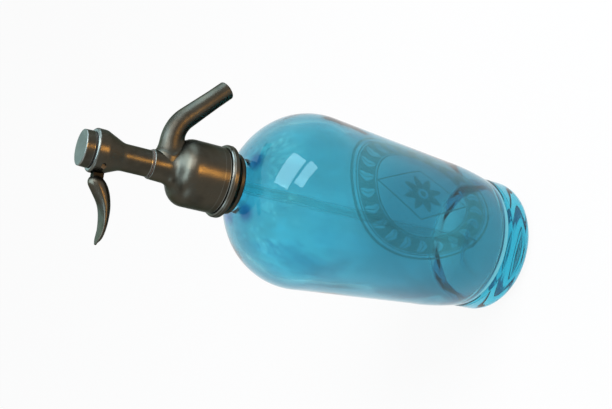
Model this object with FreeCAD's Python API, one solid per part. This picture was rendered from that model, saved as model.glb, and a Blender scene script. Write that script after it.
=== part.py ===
import FreeCAD, Part
import math
import os

# Soda siphon for the bar: a thick glass pressure bottle under a cast metal head with a
# thumb lever, a sprung valve and a curved spout.
# Millimetres, +Z up. The origin is the centre of the base, on the bottle's axis.
# The spout points to +X and the lever to -X. Threads are plain turned faces.

# Shared by all pieces: the round on a broken edge, how far a cutting solid stands past what it cuts,
# the largest share of a side that a corner's round takes, and the least length of an arc
EDGE_ROUND = 0.3
CUT_PAST = 1.0
ROUND_SHARE = 0.49
LEAST_ARC = 1e-6

# Glass bottle
FOOT_R = 45.4
FOOT_H = 22.8
FOOT_ROUND = 15.0
FOOT_LIP_H = 2.8
FOOT_LIP_ROUND = 3.0
GROOVE_R = 44.5
GROOVE_ROUND = 0.7
KICK_R = 24.0
KICK_H = 3.0
BODY_LOW_R = 50.0
BODY_LOW_Z = 60.0
BODY_LOW_BOW = 0.95
BODY_MAX_R = 56.35
SHOULDER_Z = 155.0
SHOULDER_H = 50.0
GLASS_WALL = 5.0
GLASS_FLOOR_Z = 15.0
FLOOR_CORNER_R = 41.5
FLOOR_ROUND = 20.0
SEAM_TURN = 20.0  # degrees from +X to the mould seam
NECK_R = 14.5
NECK_WALL = 4.5
NECK_FLARE = 5.0
BORE_FLARE = 4.0
BEAD_OVER_SHOULDER = 17.0
BEAD_H = 10.0
BEAD_R = 16.8
BEAD_ROUND = 1.3
MOUTH_ROUND = 0.8

# Dip tube and its rubber bush
TUBE_R = 4.0
TUBE_WALL = 1.6
TUBE_FLOOR_GAP = 3.0
BUSH_T = 1.35
BUSH_L = 7.0
BUSH_FIT = 0.05

# Seals between the bottle and the head
GASKET_T = 2.0
GASKET_IN_R = 11.0
GASKET_OUT_R = 16.4
PAD_T = 1.0
PAD_OUT_R = 17.2

# Split threaded collar round the neck
COLLAR_H = 15.0
COLLAR_NECK_GAP = 0.3
COLLAR_THREAD_L = 4.5
COLLAR_FLANGE_R = 22.5
COLLAR_FLANGE_EDGE = 2.4
COLLAR_TOP_R = 21.5
COLLAR_TOP_DROP = 1.7
COLLAR_GRIP_R = 18.9
COLLAR_GRIP_H = 2.9
COLLAR_MOUTH_R = 16.3
COLLAR_MOUTH_H = 3.2
COLLAR_SPLIT = 0.2
COLLAR_EDGE_ROUND = 0.4
COLLAR_GRIP_ROUND = 1.0
COLLAR_GROOVE_ROUND = 0.5
COLLAR_FLANGE_ROUND = 0.8

# Head casting: cup, dome and socket
CUP_R = 20.6
CUP_WALL = 2.4
CUP_EDGE_ROUND = 0.6
THREAD_GAP = 0.1
DOME_RISE = 7.5
DOME_ROUND = 9.5
DOME_SLOPE = math.radians(30.0)
SOCKET_FOOT_R = 9.6
SOCKET_TOP_R = 9.0
SOCKET_ROUND = 6.0
SOCKET_RIM_ROUND = 0.5
CEILING_T = 6.5
CHAMBER_R = 5.5
CHAMBER_H = 10.0
GLAND_R = 7.15
GLAND_H = 10.0
OUTLET_R = 2.8
OUTLET_Z = 7.1

# Valve seat insert
SEAT_PLUG_R = 6.0
SEAT_FLANGE_R = 8.2
SEAT_FLANGE_T = 1.5
SEAT_SKIRT_WALL = 1.6
SEAT_SKIRT_L = 8.0
SEAT_BORE_R = 2.3
SEAT_LIP_R = 3.2
SEAT_LIP_H = 0.7
SEAT_LIP_ROUND = 0.15
SEAT_SKIRT_ROUND = 0.4

# Valve on its rod
ROD_R = 2.0
ROD_FIT = 0.06
ROD_TOP_OVERLAP = 2.2
HOLDER_R = 4.5
HOLDER_H = 4.6
HOLDER_RIM_T = 0.7
HOLDER_RIM_GAP = 0.7
HOLDER_LIP_ROUND = 0.2
HOLDER_TOP_ROUND = 0.5
WASHER_T = 2.2
WASHER_GAP = 0.05
SCREW_HEAD_R = 1.6
SCREW_HEAD_T = 0.6
SCREW_SHANK_R = 0.8
SCREW_L = 4.0
SCREW_GAP = 0.05
ROD_SPIGOT_R = 1.4
ROD_SPIGOT_L = 1.2

# Packing above the valve chamber
PACKING_T = 3.0
PACKING_GAP = 0.1
RING_T = 1.5
RING_BORE_GAP = 0.2

# Column with its lever bulb
JOINT_WASHER_T = 0.7
JOINT_WASHER_IN = 0.5
COLUMN_H = 35.3
COLUMN_R = 8.1
COLUMN_FLARE_Z = 17.0
COLUMN_FLARE_ROUND = 10.0
BULB_R = 13.05
BULB_BELOW_TOP = 6.7
BULB_ROUND = 6.0
BULB_RIM_ROUND = 1.7
COLUMN_BORE_R = 5.6
LEDGE_T = 2.4
CAVITY_R = 7.8
CAVITY_ROUND = 0.8
CAVITY_BELOW_PIVOT = 6.4
SLOT_HALF_W = 2.9
SLOT_ABOVE = 4.9
SLOT_BELOW = 4.3

# Return spring round the rod
SPRING_WIRE_R = 0.45
SPRING_MEAN_R = 4.2
SPRING_TURNS = 8
SPRING_WASHER_T = 0.7
SPRING_END_GAP = 0.05
ROD_COLLAR_R = 5.2
ROD_COLLAR_T = 1.5
ROD_COLLAR_LIFT = 4.0

# Lever, its pin and the yoke that it lifts
PIVOT_X = -9.5
PIVOT_BELOW_TOP = 6.2
PIN_R = 1.5
PIN_FIT = 0.05
PIN_RECESS = 0.3
HUB_R = 3.2
HUB_HALF_W = 2.6
FINGER_HALF_W = 1.8
FINGER_R = 1.8
FINGER_PLAY = 0.3
FINGER_BAR_SHARE = 0.8
LEVER_SIDE_SHARE = 0.3
YOKE_R = 5.6
YOKE_WINDOW_DROP = 3.6
YOKE_SIDE_GAP = 0.4
YOKE_TOP_T = 2.3
YOKE_BOTTOM_T = 2.6
YOKE_FOOT_ROUND = 0.5
YOKE_TOP_ROUND = 0.8

# Each station of the lever's body: distance out from the pivot, then the heights of the crown,
# of the side edges and of the belly over the pivot, and the width
LEVER_STATIONS = (
    (5.2, 3.4, 1.4, -3.2, 5.8),
    (7.2, 5.0, 1.7, -5.5, 8.8),
    (10.2, 4.8, 0.4, -7.6, 10.4),
    (14.5, 1.6, -2.2, -9.3, 11.4),
    (20.5, -3.1, -4.9, -10.5, 12.2),
    (26.5, -5.6, -6.3, -10.7, 12.5),
    (33.5, -6.5, -6.9, -10.1, 12.0),
    (39.5, -5.9, -6.2, -8.7, 9.8),
    (43.7, -5.4, -5.6, -6.6, 4.6),
)

# Cap on the column
CAP_WASHER_T = 0.6
CAP_WASHER_IN = 0.5
CAP_R = 10.95
CAP_TAPER = 0.25
CAP_H = 5.5
CAP_ROUND = 0.45
CAP_SPIGOT_L = 3.6
CAP_SPIGOT_WALL = 1.4
CAP_ROOF_T = 2.0
CAP_HOLLOW_ROUND = 0.8

# Spout
SPOUT_ROOT_R = 7.3
SPOUT_TIP_R = 5.9
SPOUT_BORE_R = 3.5
SPOUT_Z_OVER_OUTLET = 1.9
SPOUT_CORNER_X = 25.6
SPOUT_BEND_R = 24.0
SPOUT_TURN = math.radians(44.5)
SPOUT_FALL = 33.4
SPOUT_TIP_L = 11.0
SPOUT_STATIONS = 5

# Heights that follow from the sizes above
BEAD_Z = SHOULDER_Z + SHOULDER_H + BEAD_OVER_SHOULDER
MOUTH_Z = BEAD_Z + BEAD_H
CEILING_Z = MOUTH_Z + GASKET_T
COLLAR_TOP_Z = BEAD_Z - PAD_T
COLLAR_Z = COLLAR_TOP_Z - COLLAR_H
CUP_Z = COLLAR_TOP_Z - COLLAR_THREAD_L
CUP_IN_R = CUP_R - CUP_WALL
CHAMBER_Z = CEILING_Z + CEILING_T
GLAND_Z = CHAMBER_Z + CHAMBER_H
SOCKET_Z = GLAND_Z + GLAND_H
PACKING_TOP_Z = GLAND_Z + PACKING_T
RING_TOP_Z = PACKING_TOP_Z + RING_T
COLUMN_Z = SOCKET_Z + JOINT_WASHER_T
COLUMN_TOP_Z = COLUMN_Z + COLUMN_H
PIVOT_Z = COLUMN_TOP_Z - PIVOT_BELOW_TOP
CAVITY_Z = PIVOT_Z - CAVITY_BELOW_PIVOT
LEDGE_Z = CAVITY_Z - LEDGE_T
CAP_Z = COLUMN_TOP_Z + CAP_WASHER_T
SEAT_Z = CHAMBER_Z + SEAT_LIP_H
ROD_Z = SEAT_Z + WASHER_T - HOLDER_RIM_T + HOLDER_H - ROD_SPIGOT_L
ROD_COLLAR_Z = RING_TOP_Z + ROD_COLLAR_LIFT
WINDOW_TOP_Z = PIVOT_Z + FINGER_R + FINGER_PLAY
WINDOW_Z = PIVOT_Z - YOKE_WINDOW_DROP
YOKE_Z = WINDOW_Z - YOKE_BOTTOM_T
SKIRT_R = TUBE_R + BUSH_T + SEAT_SKIRT_WALL
TUBE_TOP_Z = CEILING_Z - SEAT_FLANGE_T - BUSH_FIT
TUBE_Z = GLASS_FLOOR_Z + TUBE_FLOOR_GAP
SPOUT_Z = CHAMBER_Z + OUTLET_Z + SPOUT_Z_OVER_OUTLET

AXIS = FreeCAD.Vector(0, 0, 1)
ORIGIN = FreeCAD.Vector(0, 0, 0)


def at(r, z):
    """A point in the XZ plane."""
    return FreeCAD.Vector(r, 0, z)


def line(p, q):
    return Part.LineSegment(p, q).toShape()


def corner_arc(p, corner, q):
    """The arc that leaves p towards the corner and reaches q from it, both equally far from it."""
    to_p = p.sub(corner)
    to_q = q.sub(corner)
    reach = to_p.Length
    half = to_p.getAngle(to_q) / 2
    middle = to_p.add(to_q).normalize()
    depth = reach / math.cos(half) - reach * math.tan(half)
    return Part.Arc(p, corner.add(middle.multiply(depth)), q).toShape()


def bowed(p, q, rise):
    """The arc from p to q that stands out from the straight line by rise, to the right of it."""
    along = q.sub(p).normalize()
    across = FreeCAD.Vector(along.z, 0, -along.x)
    middle = p.add(q).multiply(0.5).add(across.multiply(rise))
    return Part.Arc(p, middle, q).toShape()


def dome_edge(r, h):
    """The arc from the axis at height h down to radius r at height 0, level on the axis."""
    ball = (r * r + h * h) / (2 * h)
    x = r / 2
    return Part.Arc(at(0, h), at(x, h - ball + math.sqrt(ball * ball - x * x)), at(r, 0)).toShape()


def rounded(points, closed=False):
    """Straight edges through (r, z) or (r, z, radius) points, with an arc at each point with a radius.
    A radius is kept within half of the edges beside it."""
    spots = [at(p[0], p[1]) for p in points]
    radii = [p[2] if len(p) > 2 else 0 for p in points]
    count = len(points)
    entry = list(spots)
    leave = list(spots)
    for i in range(count):
        if radii[i] == 0 or (not closed and i in (0, count - 1)):
            continue
        before = spots[i - 1].sub(spots[i])
        after = spots[(i + 1) % count].sub(spots[i])
        half = before.getAngle(after) / 2
        reach = min(radii[i] / math.tan(half), ROUND_SHARE * before.Length, ROUND_SHARE * after.Length)
        entry[i] = spots[i].add(before.normalize().multiply(reach))
        leave[i] = spots[i].add(after.normalize().multiply(reach))
    edges = []
    for i in range(count):
        if entry[i].distanceToPoint(leave[i]) > LEAST_ARC:
            edges.append(corner_arc(entry[i], spots[i], leave[i]))
        if closed or i < count - 1:
            edges.append(line(leave[i], entry[(i + 1) % count]))
    return edges


def turned(edges):
    """The solid of a closed outline in the XZ plane turned round the Z axis."""
    wire = Part.Wire(Part.__sortEdges__(edges))
    return Part.Face(wire).revolve(ORIGIN, AXIS, 360)


def ring(inner, outer, z0, z1):
    """A washer between two radii and two heights."""
    return drum(outer, z0, z1).cut(drum(inner, z0, z1))


def drum(r, z0, z1):
    return Part.makeCylinder(r, z1 - z0, at(0, z0), AXIS)


def block(x0, x1, y0, y1, z0, z1):
    return Part.makeBox(x1 - x0, y1 - y0, z1 - z0, FreeCAD.Vector(x0, y0, z0))


def shoulder(a, b, low, join_r):
    """The elliptic shoulder from its tangent with the tapered body up to join_r, as an edge, and the
    slope inwards there. low is the body's lower end (r, z)."""
    slope = (a - low[0]) / (SHOULDER_Z - low[1])
    start = -math.atan(slope * b / a)
    end = math.acos(join_r / a)
    steps = 10
    angles = [start + (end - start) * i / steps for i in range(steps + 1)]
    points = [at(a * math.cos(t), SHOULDER_Z + b * math.sin(t)) for t in angles]
    curve = Part.BSplineCurve()
    curve.interpolate(
        Points=points,
        InitialTangent=at(-a * math.sin(start), b * math.cos(start)),
        FinalTangent=at(-a * math.sin(end), b * math.cos(end)),
    )
    return curve.toShape(), points[0], points[-1], b * math.cos(end) / (a * math.sin(end))


def neck_blend(p, slope, neck_r):
    """The hollow arc from the shoulder's end p up into the upright neck, and its top point."""
    corner = at(neck_r, p.z + (p.x - neck_r) * slope)
    top = at(neck_r, corner.z + p.distanceToPoint(corner))
    return corner_arc(p, corner, top), top


def glass_bottle():
    low = (BODY_LOW_R, BODY_LOW_Z)
    edges = [dome_edge(KICK_R, KICK_H)]
    edges += rounded([
        (KICK_R, 0),
        (FOOT_R, 0, FOOT_ROUND),
        (FOOT_R, FOOT_H - FOOT_LIP_H, FOOT_LIP_ROUND),
        (GROOVE_R, FOOT_H, GROOVE_ROUND),
        (GROOVE_R + GROOVE_ROUND, FOOT_H + 2 * GROOVE_ROUND),
    ])
    edges.append(bowed(at(GROOVE_R + GROOVE_ROUND, FOOT_H + 2 * GROOVE_ROUND), at(*low), BODY_LOW_BOW))
    curve, start, end, slope = shoulder(BODY_MAX_R, SHOULDER_H, low, NECK_R + NECK_FLARE)
    blend, top = neck_blend(end, slope, NECK_R)
    edges += [line(at(*low), start), curve, blend]
    bore = NECK_R - NECK_WALL
    inner_low = (BODY_LOW_R - GLASS_WALL, BODY_LOW_Z)
    inner_curve, inner_start, inner_end, inner_slope = shoulder(
        BODY_MAX_R - GLASS_WALL, SHOULDER_H - GLASS_WALL, inner_low, bore + BORE_FLARE)
    inner_blend, inner_top = neck_blend(inner_end, inner_slope, bore)
    edges += rounded([
        (NECK_R, top.z),
        (NECK_R, BEAD_Z),
        (BEAD_R, BEAD_Z, BEAD_ROUND),
        (BEAD_R, MOUTH_Z, BEAD_ROUND),
        (bore, MOUTH_Z, MOUTH_ROUND),
        (bore, inner_top.z),
    ])
    edges += [inner_blend, inner_curve]
    edges += rounded([
        (inner_start.x, inner_start.z),
        (inner_low[0], inner_low[1]),
        (FLOOR_CORNER_R, GLASS_FLOOR_Z, FLOOR_ROUND),
        (0, GLASS_FLOOR_Z),
    ])
    edges.append(line(at(0, GLASS_FLOOR_Z), at(0, KICK_H)))
    bottle = turned(edges)
    bottle.rotate(ORIGIN, AXIS, SEAM_TURN)
    return bottle


def dip_tube():
    return ring(TUBE_R - TUBE_WALL, TUBE_R, TUBE_Z, TUBE_TOP_Z)


def tube_bush():
    """Rubber sleeve that holds the top of the dip tube in the seat insert's skirt."""
    return ring(TUBE_R, TUBE_R + BUSH_T, TUBE_TOP_Z - BUSH_L, TUBE_TOP_Z)


def mouth_gasket():
    return ring(GASKET_IN_R, GASKET_OUT_R, MOUTH_Z, CEILING_Z)


def collar_pad():
    """Soft ring between the glass bead and the collar."""
    return ring(NECK_R + COLLAR_NECK_GAP, PAD_OUT_R, COLLAR_TOP_Z, BEAD_Z)


def collar_half(side):
    """One half of the threaded collar that grips the glass under its bead, split along X."""
    inner = NECK_R + COLLAR_NECK_GAP
    thread_r = CUP_IN_R - THREAD_GAP
    whole = turned(rounded([
        (inner, COLLAR_TOP_Z),
        (inner, COLLAR_Z + COLLAR_MOUTH_H),
        (COLLAR_MOUTH_R, COLLAR_Z, COLLAR_EDGE_ROUND),
        (COLLAR_GRIP_R, COLLAR_Z, COLLAR_GRIP_ROUND),
        (COLLAR_GRIP_R, COLLAR_Z + COLLAR_GRIP_H, COLLAR_GROOVE_ROUND),
        (COLLAR_FLANGE_R, CUP_Z - COLLAR_TOP_DROP - COLLAR_FLANGE_EDGE, COLLAR_GRIP_ROUND),
        (COLLAR_FLANGE_R, CUP_Z - COLLAR_TOP_DROP, COLLAR_FLANGE_ROUND),
        (COLLAR_TOP_R, CUP_Z, COLLAR_EDGE_ROUND),
        (thread_r, CUP_Z),
        (thread_r, COLLAR_TOP_Z),
    ], closed=True))
    far = 2 * COLLAR_FLANGE_R
    near = side * COLLAR_SPLIT / 2
    half = block(
        -far, far, min(near, side * far), max(near, side * far), COLLAR_Z - CUT_PAST, COLLAR_TOP_Z + CUT_PAST)
    return whole.common(half)


def head_outline():
    """The outer outline of the head casting, from the cup's edge to the socket's top."""
    return [
        (CUP_R, CUP_Z, CUP_EDGE_ROUND),
        (CUP_R, CEILING_Z + DOME_RISE, DOME_ROUND),
        (SOCKET_FOOT_R, CEILING_Z + DOME_RISE + (CUP_R - SOCKET_FOOT_R) * math.tan(DOME_SLOPE), SOCKET_ROUND),
        (SOCKET_TOP_R, SOCKET_Z, SOCKET_RIM_ROUND),
    ]


def outlet_bore():
    """The passage from the valve chamber out to the spout."""
    start = at(0, CHAMBER_Z + OUTLET_Z)
    return Part.makeCylinder(OUTLET_R, CUP_R, start, FreeCAD.Vector(1, 0, 0))


def head_body():
    """Cup, dome, valve chamber and socket in one casting."""
    seat_hole = SEAT_PLUG_R + THREAD_GAP
    shell = turned(rounded(head_outline() + [
        (GLAND_R, SOCKET_Z),
        (GLAND_R, GLAND_Z),
        (CHAMBER_R, GLAND_Z),
        (CHAMBER_R, CHAMBER_Z),
        (seat_hole, CHAMBER_Z),
        (seat_hole, CEILING_Z),
        (CUP_IN_R, CEILING_Z),
        (CUP_IN_R, CUP_Z),
    ], closed=True))
    return shell.cut(outlet_bore())


def seat_insert():
    """Brass seat screwed up into the head: plug, flange and the skirt that holds the dip tube."""
    bush_r = TUBE_R + BUSH_T
    flange_z = CEILING_Z - SEAT_FLANGE_T
    return turned(rounded([
        (SEAT_BORE_R, flange_z),
        (SEAT_BORE_R, SEAT_Z),
        (SEAT_LIP_R, SEAT_Z, SEAT_LIP_ROUND),
        (SEAT_LIP_R, CHAMBER_Z),
        (SEAT_PLUG_R, CHAMBER_Z, EDGE_ROUND),
        (SEAT_PLUG_R, CEILING_Z),
        (SEAT_FLANGE_R, CEILING_Z),
        (SEAT_FLANGE_R, flange_z, EDGE_ROUND),
        (SKIRT_R, flange_z),
        (SKIRT_R, flange_z - SEAT_SKIRT_L, SEAT_SKIRT_ROUND),
        (bush_r, flange_z - SEAT_SKIRT_L),
        (bush_r, flange_z),
    ], closed=True))


def packing_washer():
    """Leather packing round the rod, over the valve chamber."""
    return ring(ROD_R + ROD_FIT, GLAND_R - PACKING_GAP, GLAND_Z, PACKING_TOP_Z)


def gland_ring():
    """Brass ring that the column presses onto the packing."""
    return ring(ROD_R + RING_BORE_GAP, GLAND_R - PACKING_GAP, PACKING_TOP_Z, RING_TOP_Z)


def column_washer():
    return ring(GLAND_R - THREAD_GAP, SOCKET_TOP_R - JOINT_WASHER_IN, SOCKET_Z, COLUMN_Z)


def column():
    """Upright tube screwed into the socket, with the bulb that carries the lever."""
    spigot_r = GLAND_R - THREAD_GAP
    tube = turned(rounded([
        (spigot_r, RING_TOP_Z, EDGE_ROUND),
        (spigot_r, COLUMN_Z),
        (COLUMN_R, COLUMN_Z, EDGE_ROUND),
        (COLUMN_R, COLUMN_Z + COLUMN_FLARE_Z, COLUMN_FLARE_ROUND),
        (BULB_R, COLUMN_TOP_Z - BULB_BELOW_TOP, BULB_ROUND),
        (BULB_R, COLUMN_TOP_Z, BULB_RIM_ROUND),
        (CAVITY_R, COLUMN_TOP_Z),
        (CAVITY_R, CAVITY_Z, CAVITY_ROUND),
        (ROD_R + ROD_FIT, CAVITY_Z),
        (ROD_R + ROD_FIT, LEDGE_Z),
        (COLUMN_BORE_R, LEDGE_Z),
        (COLUMN_BORE_R, RING_TOP_Z),
    ], closed=True))
    slot = block(
        -2 * BULB_R, PIVOT_X / 2, -SLOT_HALF_W, SLOT_HALF_W, PIVOT_Z - SLOT_BELOW, PIVOT_Z + SLOT_ABOVE)
    return tube.cut(slot).cut(pin_shape(PIN_R, BULB_R))


def pin_shape(r, half_l):
    """A round bar along Y through the lever's pivot."""
    start = FreeCAD.Vector(PIVOT_X, -half_l, PIVOT_Z)
    return Part.makeCylinder(r, 2 * half_l, start, FreeCAD.Vector(0, 1, 0))


def lever_pin():
    half_l = math.sqrt(BULB_R ** 2 - PIVOT_X ** 2) - PIN_RECESS
    return pin_shape(PIN_R, half_l)


def lever_section(out, crown, edge, belly, width):
    """One closed section of the lever's body, square to X: crown, upright sides and belly."""
    x = PIVOT_X - out
    half = width / 2
    side = LEVER_SIDE_SHARE * (edge - belly)

    def spot(y, z):
        return FreeCAD.Vector(x, y, PIVOT_Z + z)

    return Part.Wire([
        Part.Arc(spot(-half, edge), spot(0, crown), spot(half, edge)).toShape(),
        line(spot(half, edge), spot(half, edge - side)),
        Part.Arc(spot(half, edge - side), spot(0, belly), spot(-half, edge - side)).toShape(),
        line(spot(-half, edge - side), spot(-half, edge)),
    ])


def lever():
    """Thumb lever: dished body outside, hub on the pin, and a finger into the yoke."""
    body = Part.makeLoft([lever_section(*station) for station in LEVER_STATIONS], True, False)
    first, second = LEVER_STATIONS[0], LEVER_STATIONS[1]
    neck_face = Part.Face(Part.makePolygon([
        FreeCAD.Vector(PIVOT_X, -HUB_HALF_W, PIVOT_Z - HUB_R),
        FreeCAD.Vector(PIVOT_X - second[0], -HUB_HALF_W, PIVOT_Z + first[3]),
        FreeCAD.Vector(PIVOT_X - second[0], -HUB_HALF_W, PIVOT_Z + first[1]),
        FreeCAD.Vector(PIVOT_X, -HUB_HALF_W, PIVOT_Z + HUB_R),
        FreeCAD.Vector(PIVOT_X, -HUB_HALF_W, PIVOT_Z - HUB_R),
    ]))
    neck = neck_face.extrude(FreeCAD.Vector(0, 2 * HUB_HALF_W, 0))
    hub = Part.makeCylinder(
        HUB_R, 2 * HUB_HALF_W, FreeCAD.Vector(PIVOT_X, -HUB_HALF_W, PIVOT_Z), FreeCAD.Vector(0, 1, 0))
    bar_half = FINGER_BAR_SHARE * FINGER_R
    bar = block(PIVOT_X, 0, -FINGER_HALF_W, FINGER_HALF_W, PIVOT_Z - bar_half, PIVOT_Z + bar_half)
    cam = Part.makeCylinder(
        FINGER_R, 2 * FINGER_HALF_W, FreeCAD.Vector(0, -FINGER_HALF_W, PIVOT_Z), FreeCAD.Vector(0, 1, 0))
    return body.fuse([neck, hub, bar, cam]).cut(pin_shape(PIN_R + PIN_FIT, BULB_R)).removeSplitter()


def rod_yoke():
    """Head of the valve rod, with the window that the lever's finger lifts."""
    half_w = FINGER_HALF_W + YOKE_SIDE_GAP
    whole = turned(rounded([
        (0, YOKE_Z),
        (YOKE_R, YOKE_Z, YOKE_FOOT_ROUND),
        (YOKE_R, WINDOW_TOP_Z + YOKE_TOP_T, YOKE_TOP_ROUND),
        (0, WINDOW_TOP_Z + YOKE_TOP_T),
    ], closed=True))
    window = block(-2 * YOKE_R, 2 * YOKE_R, -half_w, half_w, WINDOW_Z, WINDOW_TOP_Z)
    socket = drum(ROD_R, YOKE_Z - CUT_PAST, YOKE_Z + ROD_TOP_OVERLAP)
    return whole.cut(window).cut(socket)


def valve_rod():
    """Rod from the valve up to the yoke, with the collar that carries the spring."""
    rod = drum(ROD_R, ROD_Z + ROD_SPIGOT_L, YOKE_Z + ROD_TOP_OVERLAP)
    spigot = drum(ROD_SPIGOT_R, ROD_Z, ROD_Z + ROD_SPIGOT_L)
    collar = drum(ROD_COLLAR_R, ROD_COLLAR_Z, ROD_COLLAR_Z + ROD_COLLAR_T)
    return rod.fuse([spigot, collar]).removeSplitter()


def valve_holder():
    """Brass cup that holds the valve washer on the rod's end."""
    z0 = SEAT_Z + WASHER_T - HOLDER_RIM_T
    z1 = z0 + HOLDER_H
    body = turned(rounded([
        (0, z0),
        (HOLDER_R, z0, HOLDER_LIP_ROUND),
        (HOLDER_R, z1, HOLDER_TOP_ROUND),
        (0, z1),
    ], closed=True))
    recess = drum(HOLDER_R - HOLDER_RIM_GAP, z0 - CUT_PAST, z0 + HOLDER_RIM_T)
    shank = drum(SCREW_SHANK_R, z0, SEAT_Z + SCREW_L)
    spigot = drum(ROD_SPIGOT_R, ROD_Z, z1 + CUT_PAST)
    return body.cut(recess).cut(shank).cut(spigot)


def valve_washer():
    return ring(SCREW_SHANK_R + SCREW_GAP, HOLDER_R - HOLDER_RIM_GAP - WASHER_GAP, SEAT_Z, SEAT_Z + WASHER_T)


def washer_screw():
    """Screw that clamps the valve washer from below. Its head hangs in the seat's bore."""
    head = drum(SCREW_HEAD_R, SEAT_Z - SCREW_HEAD_T, SEAT_Z)
    return head.fuse(drum(SCREW_SHANK_R, SEAT_Z, SEAT_Z + SCREW_L)).removeSplitter()


def spring_washer():
    """Thin ring under the column's ledge, where the spring bears."""
    return ring(ROD_R + RING_BORE_GAP, COLUMN_BORE_R - PACKING_GAP, LEDGE_Z - SPRING_WASHER_T, LEDGE_Z)


def helix_spot(angle, r, z0, rise):
    return FreeCAD.Vector(r * math.cos(angle), r * math.sin(angle), z0 + rise * angle / (2 * math.pi))


def biarc(p, p_way, q, q_way):
    """Two arcs that leave p along p_way, meet smoothly and reach q along q_way."""
    gap = q.sub(p)
    ways = p_way.add(q_way)
    a = 2 * (1 - p_way.dot(q_way))
    b = 2 * gap.dot(ways)
    c = -gap.dot(gap)
    reach = (-b + math.sqrt(b * b - 4 * a * c)) / (2 * a)
    before = p.add(FreeCAD.Vector(p_way).multiply(reach))
    after = q.sub(FreeCAD.Vector(q_way).multiply(reach))
    joint = before.add(after).multiply(0.5)
    return [corner_arc(p, before, joint), corner_arc(joint, after, q)]


def return_spring():
    """Open helix between the rod's collar and the spring washer."""
    low = ROD_COLLAR_Z + ROD_COLLAR_T + SPRING_WIRE_R + SPRING_END_GAP
    high = LEDGE_Z - SPRING_WASHER_T - SPRING_WIRE_R - SPRING_END_GAP
    rise = (high - low) / SPRING_TURNS
    quarter = math.pi / 2
    edges = []
    for i in range(4 * SPRING_TURNS):
        ends = []
        for angle in (i * quarter, (i + 1) * quarter):
            way = FreeCAD.Vector(
                -SPRING_MEAN_R * math.sin(angle), SPRING_MEAN_R * math.cos(angle), rise / (2 * math.pi))
            ends += [helix_spot(angle, SPRING_MEAN_R, low, rise), way.normalize()]
        edges += biarc(*ends)
    print("spring: least gap between turns %.2f mm" % (rise - 2 * SPRING_WIRE_R))
    start = helix_spot(0, SPRING_MEAN_R, low, rise)
    way = FreeCAD.Vector(0, SPRING_MEAN_R, rise / (2 * math.pi))
    wire = Part.Wire([Part.Circle(start, way, SPRING_WIRE_R).toShape()])
    return Part.Wire(edges).makePipeShell([wire], True, False)


def cap_washer():
    return ring(CAVITY_R, CAP_R - CAP_WASHER_IN, COLUMN_TOP_Z, CAP_Z)


def head_cap():
    """Flat-topped cap screwed into the bulb, hollow to clear the yoke at full lift."""
    spigot_r = CAVITY_R - THREAD_GAP
    hollow_r = spigot_r - CAP_SPIGOT_WALL
    top = CAP_Z + CAP_H
    return turned(rounded([
        (spigot_r, CAP_Z - CAP_SPIGOT_L, EDGE_ROUND),
        (spigot_r, CAP_Z),
        (CAP_R, CAP_Z, EDGE_ROUND),
        (CAP_R - CAP_TAPER, top, CAP_ROUND),
        (0, top),
        (0, top - CAP_ROOF_T),
        (hollow_r, top - CAP_ROOF_T, CAP_HOLLOW_ROUND),
        (hollow_r, CAP_Z - CAP_SPIGOT_L),
    ], closed=True))


def spout_path():
    """Ends and tangents of the spout's centreline: root, bend start, bend end and tip."""
    corner = at(SPOUT_CORNER_X, SPOUT_Z)
    reach = SPOUT_BEND_R * math.tan(SPOUT_TURN / 2)
    fall = at(math.cos(SPOUT_TURN), -math.sin(SPOUT_TURN))
    bend_start = at(corner.x - reach, SPOUT_Z)
    bend_end = corner.add(FreeCAD.Vector(fall).multiply(reach))
    tip = bend_end.add(FreeCAD.Vector(fall).multiply(SPOUT_FALL))
    return at(0, SPOUT_Z), bend_start, corner, bend_end, tip, fall


def spout_radius(share):
    """The spout's outer radius at a share of the way from the axis to the straight tip."""
    return SPOUT_ROOT_R + (SPOUT_TIP_R - SPOUT_ROOT_R) * share


def spout():
    """Tapered tube brazed onto the head, bent down to a straight tip that is cut square."""
    root, bend_start, corner, bend_end, tip, fall = spout_path()
    level = at(1, 0)
    neck = tip.sub(FreeCAD.Vector(fall).multiply(SPOUT_TIP_L))
    centre = at(bend_start.x, SPOUT_Z - SPOUT_BEND_R)
    bend_l = SPOUT_BEND_R * SPOUT_TURN
    fall_l = bend_end.distanceToPoint(neck)
    total = bend_start.x + bend_l + fall_l
    sections = []
    for i in range(SPOUT_STATIONS + 1):
        turn = SPOUT_TURN * i / SPOUT_STATIONS
        spot = centre.add(at(SPOUT_BEND_R * math.sin(turn), SPOUT_BEND_R * math.cos(turn)))
        r = spout_radius((bend_start.x + SPOUT_BEND_R * turn) / total)
        circle = Part.Circle(spot, at(math.cos(turn), -math.sin(turn)), r)
        sections.append(Part.Wire([circle.toShape()]))
    bend = Part.makeLoft(sections, True, False)
    start_r = spout_radius(bend_start.x / total)
    end_r = spout_radius((bend_start.x + bend_l) / total)
    straight = Part.makeCone(SPOUT_ROOT_R, start_r, bend_start.x, root, level)
    slope = Part.makeCone(end_r, SPOUT_TIP_R, fall_l, bend_end, fall)
    end = Part.makeCylinder(SPOUT_TIP_R, SPOUT_TIP_L, neck, fall)
    path = Part.Wire([line(root, bend_start), corner_arc(bend_start, corner, bend_end), line(bend_end, tip)])
    hole = path.makePipeShell([Part.Wire([Part.Circle(root, level, SPOUT_BORE_R).toShape()])], True, False)
    solid_head = turned(rounded([(0, CUP_Z)] + head_outline() + [(0, SOCKET_Z)], closed=True))
    tube = straight.fuse([bend, slope, end]).cut(solid_head).cut(hole)
    return max(tube.Solids, key=lambda solid: solid.Volume)


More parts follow.
